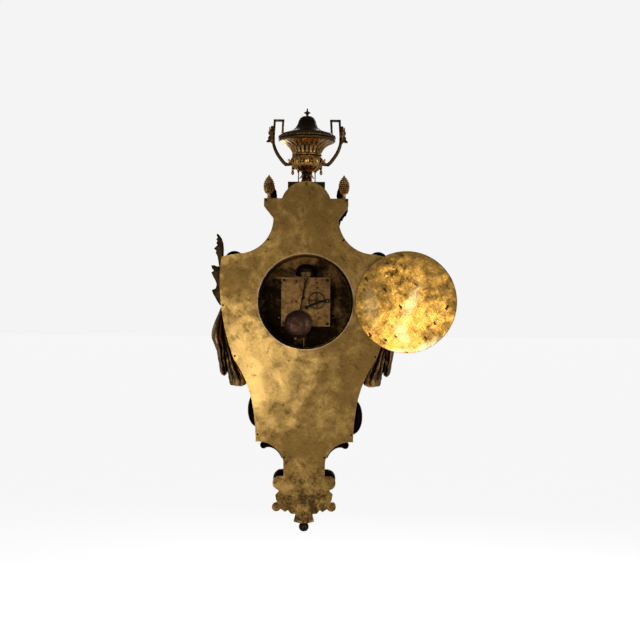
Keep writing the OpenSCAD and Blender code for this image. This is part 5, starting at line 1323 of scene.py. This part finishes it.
def caseOutline():
    # right half of the case from the top of the arch to the neck, set in from the edge
    n = border["inset"]
    line = arc(0, 175.2, 47.4 - n, 90, 14, 16)
    line += [Vector((77.9 - n, 190.6 - n)), Vector((77.9 - n, 175.8 + 1.5))]
    line += arc(125.8, 153.6, 65.5 + n, 170, 262, 20)
    line += bezier(((155.4 - n, 82.3 - n), (164.6 - n, 20), (152 - n, -55), (131.2 - n, -107.3)), 18)
    line += bezier(((131.2 - n, -107.3), (102 - n, -150), (92 - n, -190), (89.9 - n, -255.3 + n)), 16, 1)
    line += arc(85.1, -307, 48.1 + n, 90, 160, 12)
    return line + [Vector((38 - n, -316))]


def buildPearls():
    bm = bmesh.new()
    pearl = ballMesh("borderPearl", border["pearl"] / 1000, 2)
    line = caseOutline()
    left = 0.0
    for a, b in zip(line, line[1:]):
        length = (b - a).length
        while left < length:
            x, z = a.lerp(b, left / length)
            if z > slope["hip"]:
                point = mm(x, border["front"] - border["lift"], z)
            else:
                point = onSlope(x, -border["slopeLift"], (z - slope["hip"]) / math.cos(slope["angle"]))
            for side in ((-1, 1) if x > 1 else (1,)):
                addCopy(bm, pearl, Matrix.Translation(Vector((point.x * side, point.y, point.z))))
            left += border["space"]
        left -= length
    makePiece("borderPearls", bm, metals["brightGilt"], reach=0)


buildPearls()

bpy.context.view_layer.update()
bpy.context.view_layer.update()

# Studio
studio = {
    "camera": (-0.0272, 1.8, -0.2514), "lens": 54.85, "roll": 0.45, "floor": -1.3, "backdrop": 0.905,
    "ambient": 0.13, "floorGrey": (0.45, 0.45, 0.45, 1), "floorSeen": 0.86, "floorGlow": 0.2,
    "lamps": {
        "rearStrip": {"at": (0.31, 2.2, -0.46), "to": (0.06, 0, -0.36), "power": 1.25, "size": (0.24, 0.5)},
        "rearDoor": {"at": (0.47, 2.2, -0.31), "to": (-0.2, 0, -0.25), "power": 0.75, "size": (0.2, 0.24)},
        "rearWide": {"at": (0.95, 2.3, -0.6), "to": (0, 0, -0.25), "power": 6.0, "size": (1.3, 1.3)},
        "rearHigh": {"at": (-1.1, 2.0, 1.3), "to": (0, 0, -0.2), "power": 0.8, "size": (1.2, 1.2)},
        "rearSide": {"at": (-1.4, 1.5, -0.2), "to": (0, 0, -0.25), "power": 5.0, "size": (0.9, 0.9)},
        "sideLeft": {"at": (-2.2, -0.9, 0.3), "to": (0, 0, -0.2), "power": 4, "size": (1.0, 1.6)},
        "sideRight": {"at": (2.2, -0.9, 0.3), "to": (0, 0, -0.2), "power": 4, "size": (1.0, 1.6)},
        "frontKey": {"at": (-0.3, -2.5, 1.0), "to": (0, 0, -0.2), "power": 24, "size": (1.7, 1.2)},
        "frontFill": {"at": (0.4, -2.6, -0.7), "to": (0, 0, -0.3), "power": 15, "size": (1.3, 1.3)},
    },
}


def seenLevel(tree, unseen, seen):
    # one level for what the camera sees, another for what lights the clock
    ray = addNode(tree, "LightPath").outputs["Is Camera Ray"]
    return spread(tree, ray, unseen, seen)


def buildWorld():
    world = bpy.data.worlds.new("studioWorld")
    scene.world = world
    world.use_nodes = True
    tree = world.node_tree
    level = seenLevel(tree, studio["ambient"], studio["backdrop"])
    setInputs(tree, tree.nodes["Background"], {"Strength": level, "Color": (1, 1, 1, 1)})
    scene.view_settings.view_transform = "Standard"


def buildCamera():
    camera = bpy.data.objects.new("camera", bpy.data.cameras.new("camera"))
    camera.data.lens = studio["lens"]
    camera.data.sensor_width = 36
    camera.matrix_world = (Matrix.Translation(studio["camera"]) @ Matrix.Rotation(math.pi, 4, "Z")
                           @ Matrix.Rotation(math.pi / 2, 4, "X")
                           @ Matrix.Rotation(math.radians(studio["roll"]), 4, "Z"))
    scene.collection.objects.link(camera)
    scene.camera = camera


def buildFloor():
    bm = bmesh.new()
    bmesh.ops.create_grid(bm, x_segments=1, y_segments=1, size=60)
    bmesh.ops.translate(bm, vec=(0, 0, studio["floor"]), verts=bm.verts)
    mesh = toMesh("floor", bm)
    floor = bpy.data.objects.new("floor", mesh)
    material, tree, shader = newMaterial("paleFloor")
    level = seenLevel(tree, studio["floorGlow"], studio["floorSeen"])
    setInputs(tree, shader, {"Base Color": studio["floorGrey"], "Roughness": 0.8,
                             "Emission Color": (1, 1, 1, 1), "Emission Strength": level})
    mesh.materials.append(material)
    scene.collection.objects.link(floor)


def buildLamps():
    for name, lamp in studio["lamps"].items():
        light = bpy.data.lights.new(name, "AREA")
        light.energy = lamp["power"]
        light.shape = "RECTANGLE"
        light.size, light.size_y = lamp["size"]
        holder = bpy.data.objects.new(name, light)
        holder.location = lamp["at"]
        holder.rotation_euler = (Vector(lamp["to"]) - Vector(lamp["at"])).to_track_quat("-Z", "Y").to_euler()
        holder.visible_camera = False
        scene.collection.objects.link(holder)


buildWorld()
buildCamera()
buildFloor()
buildLamps()
print("studio ready")
